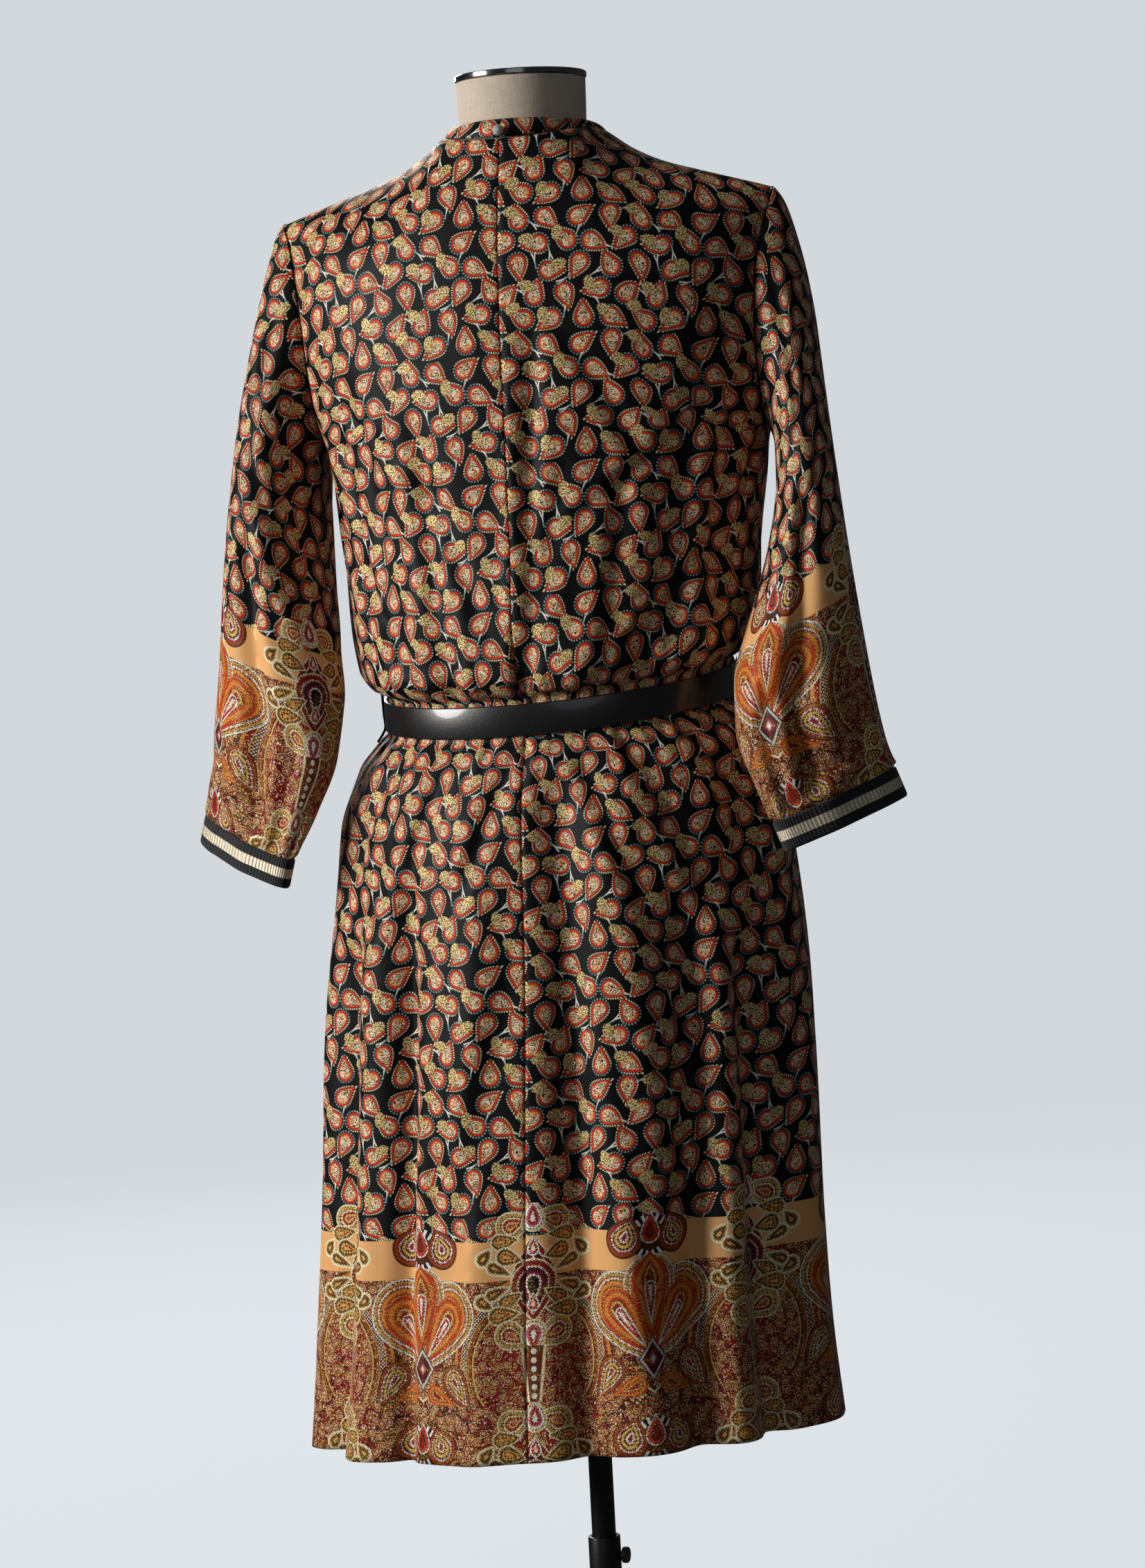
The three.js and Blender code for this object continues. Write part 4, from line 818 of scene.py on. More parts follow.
ORNAMENTS = (
    (84, 172, 70, 16, 18, "plume"),
    (76, 120, -52, 27, 62, "heart"),
    (105, 136, -90, 22, 58, "heart"),
    (77, 117, -54, 16, 46, "lobe"),
    (105, 140, -90, 15, 50, "lobe"),
    (105, 138, 90, 14, 22, "lobe"),
    (80, 113, -54, 5, 36, "spear"),
    (105, 132, -90, 5, 30, "spear"),
    (105, 174, 90, 8, 17, "crown"),
    (0, 146, 90, 19, 34, "shield"),
    (0, 142, -90, 19, 32, "shield"),
    (41, 165, 130, 7, 12, "hook"),
    (33, 158, 205, 6, 20, "hook"),
    (42, 131, 215, 7, 13, "hook"),
    (34, 136, 160, 6, 18, "hook"),
    (19, 190, 160, 12, 20, "petal"),
    (28, 178, 175, 7, 18, "leaf"),
    (23, 166, 195, 8, 16, "leaf"),
    (22, 129, 150, 7, 16, "leaf"),
    (29, 119, 175, 8, 20, "leaf"),
    (20, 103, 205, 12, 22, "petal"),
    (0, 192, 90, 10, 18, "flower"),
    (0, 102, -90, 11, 20, "flower"),
    (0, 168, 90, 5, 10, "spear"),
    (0, 124, 90, 5, 10, "spear"),
    (70, 68, 235, 13, 30, "plume"),
    (92, 56, 200, 8, 26, "lobe"),
)


def border_over(paint, place, color, gloss):
    """The peach band and, below and over it, arches, palmettes and flower columns that repeat.

    One half of a repeat is drawn from the distance across, which mirrors it, and repeats upwards too.
    """
    u, v = paint.part(place, 0), paint.part(place, 1)
    across = abs(paint.math("WRAP", u, float(BORDER_HALF), float(-BORDER_HALF)))
    height = paint.math("WRAP", v, float(BORDER_TOP), float(BORDER_TOP - BORDER_LIFT))
    height = height + (v > float(BORDER_TOP)) * 1000.0  # no ornament lies above the border
    spot = paint.join(across, height)
    mosaic = paint.ramp(
        paint.part(paint.cells(place, 0.42, 1), 0),
        (0.0, UMBER), (0.22, CRIMSON), (0.42, RUST), (0.54, BLACK), (0.68, GOLD), (0.78, SCARLET),
        (0.88, ORANGE), (0.94, CREAM),
        steps=True,
    )
    near_column = paint.inside(across, 46.0, 26.0)
    base = paint.mix(near_column, UMBER, CRIMSON)
    field = paint.mix(paint.inside(paint.cells(place, 0.42), 0.4, 0.12), base, mosaic)
    rosette = paint.cells(place, 0.115)
    petals = paint.ramp(
        rosette,
        (0.0, WHITE), (0.06, SCARLET), (0.14, GOLD), (0.19, UMBER), (0.27, RUST), (0.32, CREAM),
        (0.35, CRIMSON),
        steps=True,
    )
    field = paint.lay(field, petals, rosette, 0.42, 0.05)

    arch = paint.join(across / ARCH_SIZE[0], (height - ARCH_LIFT) / ARCH_SIZE[1])
    arch = paint.vector("LENGTH", arch)
    rings = paint.ramp(
        arch,
        (0.66, GOLD), (0.705, UMBER), (0.73, RUST), (0.775, GOLD), (0.785, UMBER), (0.855, GOLD),
        (0.865, CRIMSON), (0.92, ORANGE), (0.96, UMBER),
        steps=True,
    )
    dotted = paint.math("SINE", height * 2.2) * paint.math("SINE", across * 2.2 + 0.7) > 0.3
    dots = paint.between(arch, 0.79, 0.85, 0.02) * dotted
    rings = paint.mix(dots, rings, WHITE)
    field = paint.mix(paint.between(arch, 0.69, 1.0, 0.015), field, rings)
    tint = paint.part(paint.cells(place, 0.55, 1), 0)
    stipple = paint.ramp(tint, (0.6, WHITE), (0.7, GOLD), (0.8, BLACK), (0.9, CREAM), steps=True)
    grains = paint.inside(paint.cells(place, 0.55), 0.27, 0.1) * (tint > 0.6)
    field = paint.mix(grains * 0.85, field, stipple)
    peach = paint.between(v, float(PEACH_LOW), float(PEACH_HIGH), 0.5)
    below = paint.inside(v, float(PEACH_HIGH), 0.5)
    color = paint.mix(below, color, field)
    color = paint.mix(peach, color, PEACH)

    chevron = abs(paint.math("WRAP", height - (BORDER_HALF - across) * 0.75, 5.0, -5.0))
    lines = paint.inside(chevron, 1.0, 0.5) * paint.inside(height, 62.0, 1.0)
    lines = lines * paint.inside(BORDER_HALF - across, 34.0, 1.0)
    color = paint.mix(lines, color, CREAM)

    fan = paint.vector("SUBTRACT", spot, (float(BORDER_HALF), FAN_LIFT, 0.0))
    fan_reach = paint.vector("LENGTH", fan)
    fan_angle = paint.math("ARCTAN2", paint.part(fan, 1), paint.part(fan, 0))
    rays = paint.math("SINE", fan_angle * 17.0) > 0.1
    color = paint.lay(color, paint.mix(rays, BLACK, WHITE), fan_reach, 17.5, 0.5)
    color = paint.lay(color, UMBER, fan_reach, 11.5, 0.5)

    stitches = paint.math("SINE", u * 2.3) * paint.math("SINE", v * 2.3)
    frayed = (paint.noise(place, 0.55, 2.0, 0.7) - 0.5) * 3.0 + stitches * 0.9
    for x, y, degrees, radius, length, palette in ORNAMENTS:
        turn = math.radians(degrees)
        along, over = (math.cos(turn), math.sin(turn), 0.0), (-math.sin(turn), math.cos(turn), 0.0)
        a = paint.vector("DOT_PRODUCT", spot, along) - (x * along[0] + y * along[1])
        b = paint.vector("DOT_PRODUCT", spot, over) - (x * over[0] + y * over[1])
        edge = leaf_distance(paint, a, b, float(radius), float(length))
        shades = paint.ramp((edge + frayed) * (-1 / radius), *PALETTES[palette], steps=True)
        color = paint.lay(color, shades, edge, 0.0, 0.5)

    goblet = across - (height - 45.0) * 0.1 - 3.4
    stalk = paint.inside(height, STALK_TOP, 1.0) * paint.inside(goblet, 2.4, 0.4)
    pearls = abs(paint.math("FRACT", height / STALK_PEARLS) - 0.5) * STALK_PEARLS
    pearl = paint.inside(paint.vector("LENGTH", paint.join(across, pearls)), 2.3, 0.5)
    rail = paint.lay(CREAM, paint.mix(pearl, BROWN, WHITE), goblet, 0.0, 0.4)
    color = paint.mix(stalk, color, rail)

    shape = paint.vector("SUBTRACT", spot, (float(BORDER_HALF), LOZENGE_LIFT, 0.0))
    shape = paint.vector("ABSOLUTE", shape)
    lozenge = paint.part(shape, 0) / LOZENGE_SIZE[0] + paint.part(shape, 1) / LOZENGE_SIZE[1]
    tiles = paint.ramp(lozenge, (0.0, WHITE), (0.3, CRIMSON), (0.68, BLACK), (0.8, WHITE), (0.95, BLACK))
    color = paint.lay(color, tiles, lozenge, 1.0, 0.05)

    glitter = paint.noise(place, 0.75, 2.0, 0.7)
    patch = paint.noise(place, 0.07, 1.0, 0.5)
    zone = paint.inside(v, float(PEACH_LOW), 2.0)
    flakes = paint.inside(-glitter, -0.59, 0.03) * paint.inside(-patch, -0.5, 0.1) * zone
    color = paint.mix(flakes * 0.9, color, GOLD)
    color = paint.mix(paint.inside(glitter, 0.42, 0.04) * zone * 0.85, color, UMBER)
    return color, gloss + flakes * 0.5


def print_cloth(name, bordered):
    """Satin with the leaf print, and the ornament border below it where the cloth is near its hem."""
    paint = Finish(name, "print_cloth", Sheen_Weight=0.02, Sheen_Roughness=0.4, IOR=1.4)
    paint.shader.inputs["Specular IOR Level"].default_value = 0.2
    place = paint.cut()
    color, foil = leaves_over(paint, place, GROUND, 0.0)
    if bordered:
        color, foil = border_over(paint, place, color, foil)
    weave = paint.noise(place, 1.1, 2.0, 0.6)
    paint.feed(
        Base_Color=color,
        Metallic=foil * 0.2,
        Roughness=0.54 - foil * 0.08,
        Normal=paint.bump(weave + foil * 0.3, 0.16, 0.0006),
    )
    return paint


RIB_PITCH = 2.6
LOOP_PITCH = 1.1
LUREX_BAND = (8.6, 16.8)
LINEN_PITCH = 1.5


def rib_cloth():
    """Ribs that run down the cuff, black with a band of gold lurex round its middle. The ribs' crests are
    painted lighter and their hollows darker as painted shade, and the lurex's brightest flecks are painted
    glints.
    """
    paint = Finish("rib_knit", "rib_knit", Sheen_Weight=0.2, IOR=1.45)
    place = paint.cut()
    u, v = paint.part(place, 0), paint.part(place, 1)
    ribs = paint.math("SINE", u * (math.tau / RIB_PITCH)) * 0.5 + 0.5
    loops = paint.math("SINE", v * (math.tau / LOOP_PITCH) + ribs * 2.0) * 0.5 + 0.5
    stripe = paint.between(v, *LUREX_BAND, 0.5)
    # The lurex's tint varies at random, and its near-white flecks are painted glints.
    sparkle = paint.noise(place, 1.4, 1.0, 0.5)
    lurex = paint.ramp(sparkle, (0.3, ink("9c8a63")), (0.46, ink("dfcfa9")), (0.6, ink("fff6e4")))
    # Painted shade: the black is darker in the ribs' hollows and lighter on their crests, following the wave
    # of their bump.
    black = paint.mix(ribs, ink("0b0b0d"), ink("232327"))
    paint.feed(
        Base_Color=paint.mix(stripe, black, lurex),
        Metallic=stripe * 0.5,
        Roughness=0.78 - stripe * 0.35,
        Normal=paint.bump(ribs + loops * 0.35, 0.7, 0.0008),
    )
    return paint


def belt_leather():
    """Glossy black leather with a faint grain."""
    paint = Finish("belt_leather", "belt_leather", Coat_Roughness=0.08, IOR=1.5)
    place = paint.cut()
    grain = paint.noise(place, 0.55, 3.0, 0.55)
    paint.feed(
        Base_Color=paint.mix(grain, ink("0c0c0e"), ink("1b1b1e")),
        Roughness=0.24 + grain * 0.14,
        Coat_Weight=0.35 + grain * 0.1,
        Normal=paint.bump(grain, 0.12, 0.0006),
    )
    return paint


def linen_cloth():
    """Plain-woven linen: warp and weft threads of uneven tint crossing over and under, painted darker as
    shade where the weave dips between its threads.
    """
    paint = Finish("linen", "linen", Sheen_Weight=0.25, IOR=1.45)
    place = paint.cut()
    slub = paint.noise(paint.vector("MULTIPLY", place, (0.05, 0.9, 1.0)), 1.0, 2.0, 0.6)
    cross = paint.noise(paint.vector("MULTIPLY", place, (0.9, 0.05, 1.0)), 1.0, 2.0, 0.6)
    wobble = (slub - 0.5) * 2.0
    warp = paint.math("SINE", (paint.part(place, 0) + wobble * 0.3) * (math.tau / LINEN_PITCH))
    weft = paint.math("SINE", (paint.part(place, 1) + wobble * 0.3) * (math.tau / LINEN_PITCH))
    height = paint.math("MAXIMUM", warp * weft, warp * weft * -0.6) * 0.5
    tone = paint.ramp((slub + cross) * 0.5, (0.3, ink("d8c6b0")), (0.5, ink("efe0cd")), (0.7, ink("fbf3e6")))
    # Painted shade: a darker linen where the weave's height is low, between the threads.
    shade = paint.lay(tone, ink("c3b19c"), height, 0.12, 0.2)
    paint.feed(Base_Color=shade, Roughness=0.88 - height * 0.05, Normal=paint.bump(height, 0.5, 0.0006))
    return paint


def plain(name, slot, color, speckle_scale, rough_low, rough_high, metallic=0.0, bump=0.0, **constants):
    """A finish of one colour whose roughness and surface vary a little with the place on the object."""
    paint = Finish(name, slot, Metallic=metallic, **constants)
    place = paint.node("ShaderNodeTexCoord", output=3)
    speckle = paint.noise(place, speckle_scale, 3.0, 0.55)
    darker = tuple(0.82 * c for c in color[:3]) + (1.0,)
    paint.feed(
        Base_Color=paint.mix(speckle, darker, color),
        Roughness=speckle * (rough_high - rough_low) + rough_low,
    )
    if bump:
        paint.feed(Normal=paint.bump(speckle, bump, 0.0003))
    return paint


printed = print_cloth("print_cloth", False)
bordered = print_cloth("print_border", True)
rib = rib_cloth()
leather = belt_leather()
linen = linen_cloth()
chrome = plain("dark_chrome", "dark_chrome", ink("85878c"), 30.0, 0.1, 0.2, metallic=1.0)
black_metal = plain("black_metal", "black_metal", ink("1b1c1e"), 400.0, 0.3, 0.46, metallic=0.3, bump=0.05)
silver = plain("silver", "silver", ink("e6e7ec"), 300.0, 0.08, 0.22, metallic=0.4)
thread = plain("thread", "thread", ink("17171a"), 2500.0, 0.7, 0.9, bump=0.4)

# ---- The dress --------------------------------------------------------------------------------------
SEAM_TURN = 0.9  # the cloth turns in by this much at a seam
SEAM_TURN_WIDE = 2.4
HEM_STITCH = 24  # the hem's stitching lies this far above its edge
HEM_STITCH_DEPTH = 0.35
HEM_STITCH_WIDE = 1.6
HEM_EASE = 3  # no seam turns in at the hem's edge itself
BODY_LEVELS = np.concatenate(
    [
        np.linspace(0, 0.62, 96, endpoint=False),
        np.linspace(0.62, 0.86, 78, endpoint=False),
        np.linspace(0.86, 1, 18, endpoint=False),
        1 + np.linspace(0, 0.9, 62, endpoint=False),
        1 + 0.9 + 0.1 * np.sin(np.linspace(0, np.pi / 2, 16)),
    ]
)


def run_along(points, axis, parts=(0, 1, 2)):
    """The distance along the grid's rows or columns, counted in those coordinates only."""
    steps = np.linalg.norm(np.diff(points, axis=axis)[..., parts], axis=-1)
    start = np.zeros_like(np.take(steps, [0], axis=axis))
    return np.concatenate([start, np.cumsum(steps, axis=axis)], axis=axis)


def arc_from(points, column, parts=(0, 1, 2)):
    """The distance along each row from one of its columns, negative on one side of it."""
    sums = run_along(points, 1, parts)
    return sums - sums[:, column : column + 1]


def panel_cut(points, middle, under):
    """The flat place of a panel's points: the distance up its columns, and across its rows.

    Below the underarm a column keeps its share of a width that changes evenly, as the gathered cloth's
    grain does. Above it the cloth lies flat, so widths leave out the rise and heights the sideways run.
    """
    rise = np.linalg.norm(np.diff(points, axis=0), axis=-1).mean(axis=1)
    up = np.concatenate([[0], np.cumsum(rise)])[:, None]
    across = arc_from(points, middle)
    widest = np.abs(across).max(axis=1)
    share = np.clip(up[:, 0] / up[under, 0], 0, 1)
    even = widest[0] + (widest[under] - widest[0]) * share
    low = across * (even / widest)[:, None]
    high = arc_from(points, middle, (0, 1))
    above = np.arange(len(up))[:, None] > under
    height = run_along(points, 0, (1, 2))
    height = np.where(above, height - height[under] + up[under], up)
    high = high * (np.abs(low[under]).max() / np.abs(high[under]).max())
    return np.stack([np.where(above, high, low), height], -1)


def body_panel(name, low, high, count, facing, mark):
    """A panel between two places across, turned in along its seams, with its hem's stitching."""
    across = np.linspace(low, high, count + 1)
    points = cloth_point(across[None, :], BODY_LEVELS[:, None], facing)
    under = int(np.argmin(np.abs(BODY_LEVELS - 1)))
    middle = int(np.argmin(np.abs(across)))
    cut = panel_cut(points, middle, under)
    normal = normals_of(points)
    facing_out = np.sum(normal * points * [1, 1, 0], axis=-1, keepdims=True)
    normal = normal * np.sign(np.median(facing_out))
    reach = arc_from(points, 0)
    from_edge = np.minimum(np.abs(reach), np.abs(reach - reach[:, -1:]))
    turned_in = SEAM_TURN * bell(from_edge / SEAM_TURN_WIDE)
    up = cut[..., 1]
    from_top = up[-1:] - up
    turned_in = turned_in + SEAM_TURN * bell(from_top / SEAM_TURN_WIDE)
    turned_in = turned_in + HEM_STITCH_DEPTH * bell((up - HEM_STITCH) / HEM_STITCH_WIDE)
    turned_in = turned_in * smooth(up / HEM_EASE)
    points = points - normal * turned_in[..., None]
    return surface(name + "_cloth", points, cut + mark, printed, name, CLOTH_WALL, hem=bordered)


# Each panel's two edges across, its columns, the way it faces and where on the print it starts.
PANELS = (
    ("back_left", 0, 1, 124, 1, (6, 0)),
    ("back_right", -1, 0, 124, 1, (6, 0)),
    ("front", -1, 1, 170, -1, (0, 0)),
)
for panel in PANELS:
    body_panel(*panel)


# ---- Neckband ---------------------------------------------------------------------------------------
def band_edges(half):
    """Seam edge and free edge: 0 at the nape, 1 at the side of the neck and 2 at the point of the V."""
    half = np.asarray(half, float)
    angle = np.radians(90 * np.minimum(half, 1))
    sine, cosine = np.sin(angle), np.cos(angle)
    rise = BAND_TOP_BACK_Z + (BAND_TOP_SIDE_Z - BAND_TOP_BACK_Z) * np.minimum(half, 1) ** 2
    back_seam = np.stack([NECK_HOLE * sine, NECK_AXIS_Y + NECK_HOLE * cosine, nape_z(NECK_HOLE * sine)], -1)
    back_free = np.stack([BAND_RADIUS * sine, NECK_AXIS_Y + BAND_RADIUS * cosine, rise], -1)
    share = np.clip(half - 1, 0, 1)
    seam_x, seam_z = NECK_HOLE * (1 - share), V_POINT_Z + (NECK_POINT_Z - V_POINT_Z) * (1 - share)
    free_x, free_z = BAND_RADIUS * (1 - share), BAND_V_Z + (BAND_TOP_SIDE_Z - BAND_V_Z) * (1 - share)
    seam_y = upper_depth(seam_x, seam_z, -1)
    reach = 0.85 + 0.15 * smooth(share / 0.3)
    free_y = NECK_AXIS_Y + (seam_y + 2 * smooth(share / 0.1) - NECK_AXIS_Y) * reach
    front_seam = np.stack([seam_x, seam_y, seam_z], -1)
    front_free = np.stack([free_x, free_y, free_z], -1)
    behind = (half <= 1)[:, None]
    return np.where(behind, back_seam, front_seam), np.where(behind, back_free, front_free)


BAND_PLUMP = 1.1  # how far the band's middle stands out
BAND_SEAM_TURN = 1.0
BAND_ROLL = 1.2  # how far its free edge rolls in
BAND_PRINT_START = 640  # the leaf print's height at its seam


def neckband():
    """The band drawn from its seam to its free edge, a little plump in between, with its edge rolled in."""
    half = np.concatenate([np.linspace(0, 1, 40, endpoint=False), 1 + np.linspace(0, 1, 70) ** 1.6])
    seam, free = band_edges(half)
    mirror = np.array([-1, 1, 1])
    seam = np.concatenate([seam, seam[-2:0:-1] * mirror])
    free = np.concatenate([free, free[-2:0:-1] * mirror])
    across = free - seam
    width = np.linalg.norm(across, axis=1, keepdims=True)
    share = np.linspace(0, 1, 12)[:, None, None]
    start = np.minimum(1.0 / width, 0.2)
    points = seam + across * (start + (1 - start) * share)
    normal = unit(np.cross(np.roll(seam, -1, 0) - np.roll(seam, 1, 0), across))
    away = np.sum(normal * (seam - [0, NECK_AXIS_Y, 0]) * [1, 1, 0], axis=1, keepdims=True)
    normal *= np.sign(away)
    plump = BAND_PLUMP * np.sin(np.pi * share) - BAND_SEAM_TURN * bell(share * 8)
    plump = plump - BAND_ROLL * smooth((share - 0.8) / 0.2)
    points = points + normal * plump
    run = np.concatenate([[0], np.cumsum(np.linalg.norm(np.diff(seam, axis=0), axis=1))])
    run = np.append(run, run[-1] + np.linalg.norm(seam[0] - seam[-1]))
    up = BAND_PRINT_START + np.append(width[:, 0], width[0, 0]) * share[..., 0]
    cut = np.stack([np.broadcast_to(run, up.shape), up], -1)
    return surface("neckband_cloth", points, cut, printed, "neckband", CLOTH_WALL, around=True)


# ---- Sleeves and cuffs ------------------------------------------------------------------------------
def armhole_point(angle):
    """The armhole seam: 0 at the shoulder tip, a half turn at the underarm, the back first."""
    row = 1 + np.clip((1 + np.cos(angle)) / 2, 0, 1)
    one = np.ones_like(row)
    behind = (np.mod(angle, math.tau) <= np.pi)[..., None]
    return np.where(behind, cloth_point(one, row, 1), cloth_point(one, row, -1))


def sleeve_creases(along, angle):
    """Gaussian troughs round the sleeve and down it, each along its own line, and a slow ripple."""
    degrees = np.degrees(angle)
    depth = np.zeros(np.broadcast(along, angle).shape)
    for place, middle, deep, reach, wide, slant in SLEEVE_CREASES:
        away = wrapped(degrees - middle)
        lengthways = (along - place - away * slant) / wide
        depth = depth + deep * np.exp(-((away / reach) ** 2) - lengthways**2)
    for start, end, top, bottom, deep, wide in SLEEVE_FOLDS:
        share = (along - top) / (bottom - top)
        away = wrapped(degrees - start - (end - start) * np.clip(share, 0, 1))
        ends = smooth(share / 0.35) * smooth((1 - share) / 0.2)
        depth = depth + deep * ends * bell(away / wide)
    ripple = np.sin(9 * angle + along * 14) * 0.45 + np.sin(6 * angle - along * 31) * 0.4
    return depth + ripple * smooth((along - 0.1) / 0.3)


def ring_point(along, angle, hang):
    """An ellipse with a slanted long axis; its short axis is turned towards the front near the cuff."""
    at = {name: sleeve_row[name](along) for name in SLEEVE_NAMES[1:]}
    turn = np.radians(at["turn"])
    bow = np.sin(np.pi * along)
    outer_x = at["outerX"] + hang["cuff"] * along**2 + hang["outside"] * bow
    inner_x = at["innerX"] + hang["cuff"] * along**2 + hang["inside"] * bow
    half_x, half_z = (outer_x - inner_x) / 2, (at["outerZ"] - at["innerZ"]) / 2
    middle_z = (at["outerZ"] + at["innerZ"]) / 2 + hang["lift"] * along**2
    gather = smooth((along - 0.8) / 0.2) * (1 - smooth((along - 0.97) / 0.03))
    fine = CUFF_GATHER_DEPTH * np.cos(CUFF_GATHERS * angle) + 0.7 * np.cos(31 * angle + 2 * np.sin(3 * angle))
    wave = 1 + gather * fine / 55
    cosine = np.cos(angle) * wave
    sine = np.sin(angle) * wave * (1 - sleeve_creases(along, angle) / at["half"]) * at["half"]
    x = (outer_x + inner_x) / 2 + half_x * np.cos(turn) * cosine + np.sin(turn) * sine
    y = at["y"] - half_x * np.sin(turn) * cosine + np.cos(turn) * sine
    return np.stack([x, y, middle_z + half_z * cosine], -1)


SLEEVE_RADIUS = 56  # the flat sleeve's width is its turn times this
SLEEVE_AWAY = (0.45, 0, 0.4)  # the sleeve's and the cuff's distance from the armhole seam
UNDERARM_SEAM = 0.8
UNDERARM_RADIUS = 50
SLEEVE_PRINT_START = 4  # the border print's height at the cuff


def sleeve(side, hang):
    """The rings of the sleeve joined to the armhole's own shape at the top, gathered at the cuff."""
    along = np.concatenate([np.linspace(0, 0.75, 110, endpoint=False), np.linspace(0.75, 1, 60)])[:, None]
    turns = np.linspace(0, math.tau, 181)
    angle = turns[None, :-1]
    ring = ring_point(along, angle, hang)
    first = ring_point(np.zeros_like(angle), angle, hang)
    kept = (1 - sleeve_row["free"](along))[..., None]
    points = ring + (armhole_point(angle) - first) * kept + SLEEVE_AWAY
    middle = points.mean(axis=1, keepdims=True)
    inward = unit(middle - points)
    rise = np.linalg.norm(np.diff(points, axis=0), axis=-1).mean(axis=1)
    down = np.concatenate([[0], np.cumsum(rise)])[:, None]
    seam = SEAM_TURN * bell(down / SEAM_TURN_WIDE)
    seam = seam + SEAM_TURN * bell((down[-1] - down) / SEAM_TURN_WIDE)
    under = wrapped(np.degrees(angle) - 180) * UNDERARM_RADIUS * math.radians(1)
    seam = seam + UNDERARM_SEAM * bell(under / SEAM_TURN_WIDE)
    points = points + inward * seam[..., None]
    points[..., 0] *= hang["side"]
    across = (turns - math.radians(hang["palmette"])) * SLEEVE_RADIUS + BORDER_HALF
    length = run_along(points, 0)
    length = np.concatenate([length, length[:, :1]], axis=1)
    up = length[-1:] - length
    cut = np.stack([np.broadcast_to(across, up.shape), up + SLEEVE_PRINT_START], -1)
    name = "sleeve_" + side
    return surface(name + "_cloth", points, cut, printed, name, CLOTH_WALL, around=True, hem=bordered)


def cuff(side, hang):
    """The sleeve's last ring carried on along the cuff's axis, its rims rounded in and ribs raised round it.
    """
    turns = np.linspace(0, math.tau, 241)
    angle = turns[None, :-1]
    one = np.ones((1, 1))
    quarter = np.array([[0.0, math.pi, math.pi / 2, -math.pi / 2]])
    top, bottom, back, face = ring_point(one, quarter, hang)[0]
    axis = unit(np.cross(back - face, top - bottom))
    axis *= -np.sign(axis[2])
    ring = ring_point(one, angle, hang)
    tangent = np.roll(ring, -1, axis=1) - np.roll(ring, 1, axis=1)
    outward = unit(np.cross(tangent, axis))
    outward *= np.sign(np.sum(outward * (ring - (top + bottom) / 2)))
    down = np.linspace(0.2, CUFF_HEIGHT, 26)[:, None, None]
    edge = np.minimum(down, CUFF_HEIGHT - down)
    ribs = 0.3 * np.cos(angle * 90)[..., None] * smooth(edge / 2)
    out = 0.4 - 0.7 * (1 - smooth(edge / 1.6)) + ribs
    points = ring + axis * down + outward * out + SLEEVE_AWAY
    points[..., 0] *= hang["side"]
    round_length = np.linalg.norm(np.diff(ring, axis=1), axis=-1).sum()
    across = np.broadcast_to(turns / math.tau * round_length, (len(down), len(turns)))
    cut = np.stack([across, np.broadcast_to(CUFF_HEIGHT - down[..., 0], across.shape)], -1)
    return surface(f"cuff_{side}_rib", points, cut, rib, "cuff_" + side, RIB_WALL, around=True)


# ---- Belt -------------------------------------------------------------------------------------------
def belt_point(degrees, height, out):
    """The tilted ellipse under the belt, moved out along its normal; height runs across the strap."""
    sine, cosine = np.sin(np.radians(degrees)), np.cos(np.radians(degrees))
    side = body["side"](BELT_LEVEL)
    depth = np.where(cosine >= 0, body["back"](BELT_LEVEL), body["front"](BELT_LEVEL))
    length = np.hypot(sine / side, cosine / depth)
    x = side * sine + sine / side / length * out
    y = depth * cosine + cosine / depth / length * out
    rise, pitch = body["rise"](BELT_LEVEL), body["pitch"](BELT_LEVEL)
    return np.stack([x, y, BELT_LEVEL + height + rise * x + pitch * y], -1)


def rounded_box(half_high, low, high, radius, steps=4):
    """The outline of a rounded rectangle as heights and distances out, once round."""
    corners = ((half_high, high, 0), (-half_high, high, 90), (-half_high, low, 180), (half_high, low, 270))
    outline = []
    for height, out, start in corners:
        turn = np.radians(np.linspace(start, start + 90, steps))
        inner_height = height - math.copysign(radius, height)
        inner_out = out - radius if out == high else out + radius
        outline.append(np.stack([inner_height + radius * np.cos(turn), inner_out + radius * np.sin(turn)], 1))
    return np.concatenate(outline)


BELT_COLUMNS = 420
TAIL_LIFT_FROM = 330  # the tail lifts over the strap's start from this many degrees on
TAIL_LIFT_OVER = 26


def belt_strap():
    """The strap's rounded section carried once round the waist, its tail lifted over its start."""
    whole = 360 + BELT_TAIL_ANGLE
    turned = np.concatenate([[0], np.linspace(0, whole, BELT_COLUMNS), [whole]])[None, :]
    outline = rounded_box(BELT_WIDTH / 2, 0, BELT_THICK, 0.9)
    outline = np.concatenate([outline, outline[:1]])
    lift = BELT_CLEAR + BELT_LAYER * smooth((turned - TAIL_LIFT_FROM) / TAIL_LIFT_OVER)
    shrink = np.ones_like(turned)
    shrink[0, [0, -1]] = 0
    middle_out = BELT_THICK / 2
    height = outline[:, :1] * shrink
    out = middle_out + (outline[:, 1:] - middle_out) * shrink + lift
    points = belt_point(BELT_START_ANGLE + turned, height, out)
    along = run_along(points, 1).mean(axis=0, keepdims=True)
    around = np.concatenate([[0], np.cumsum(np.linalg.norm(np.diff(outline, axis=0), axis=1))])[:, None]
    cut = np.stack(np.broadcast_arrays(along, around), -1)
    points = np.swapaxes(points[:-1], 0, 1)
    cut = np.swapaxes(cut, 0, 1)
    return surface("belt_leather", points, cut, leather, "belt_strap", around=True, crisp=50, poles=True)


KEEPER_WALL = 1.5
KEEPER_ANGLE = 22  # how far round from the strap's start it sits
KEEPER_ROUND = 60  # its length once round the strap


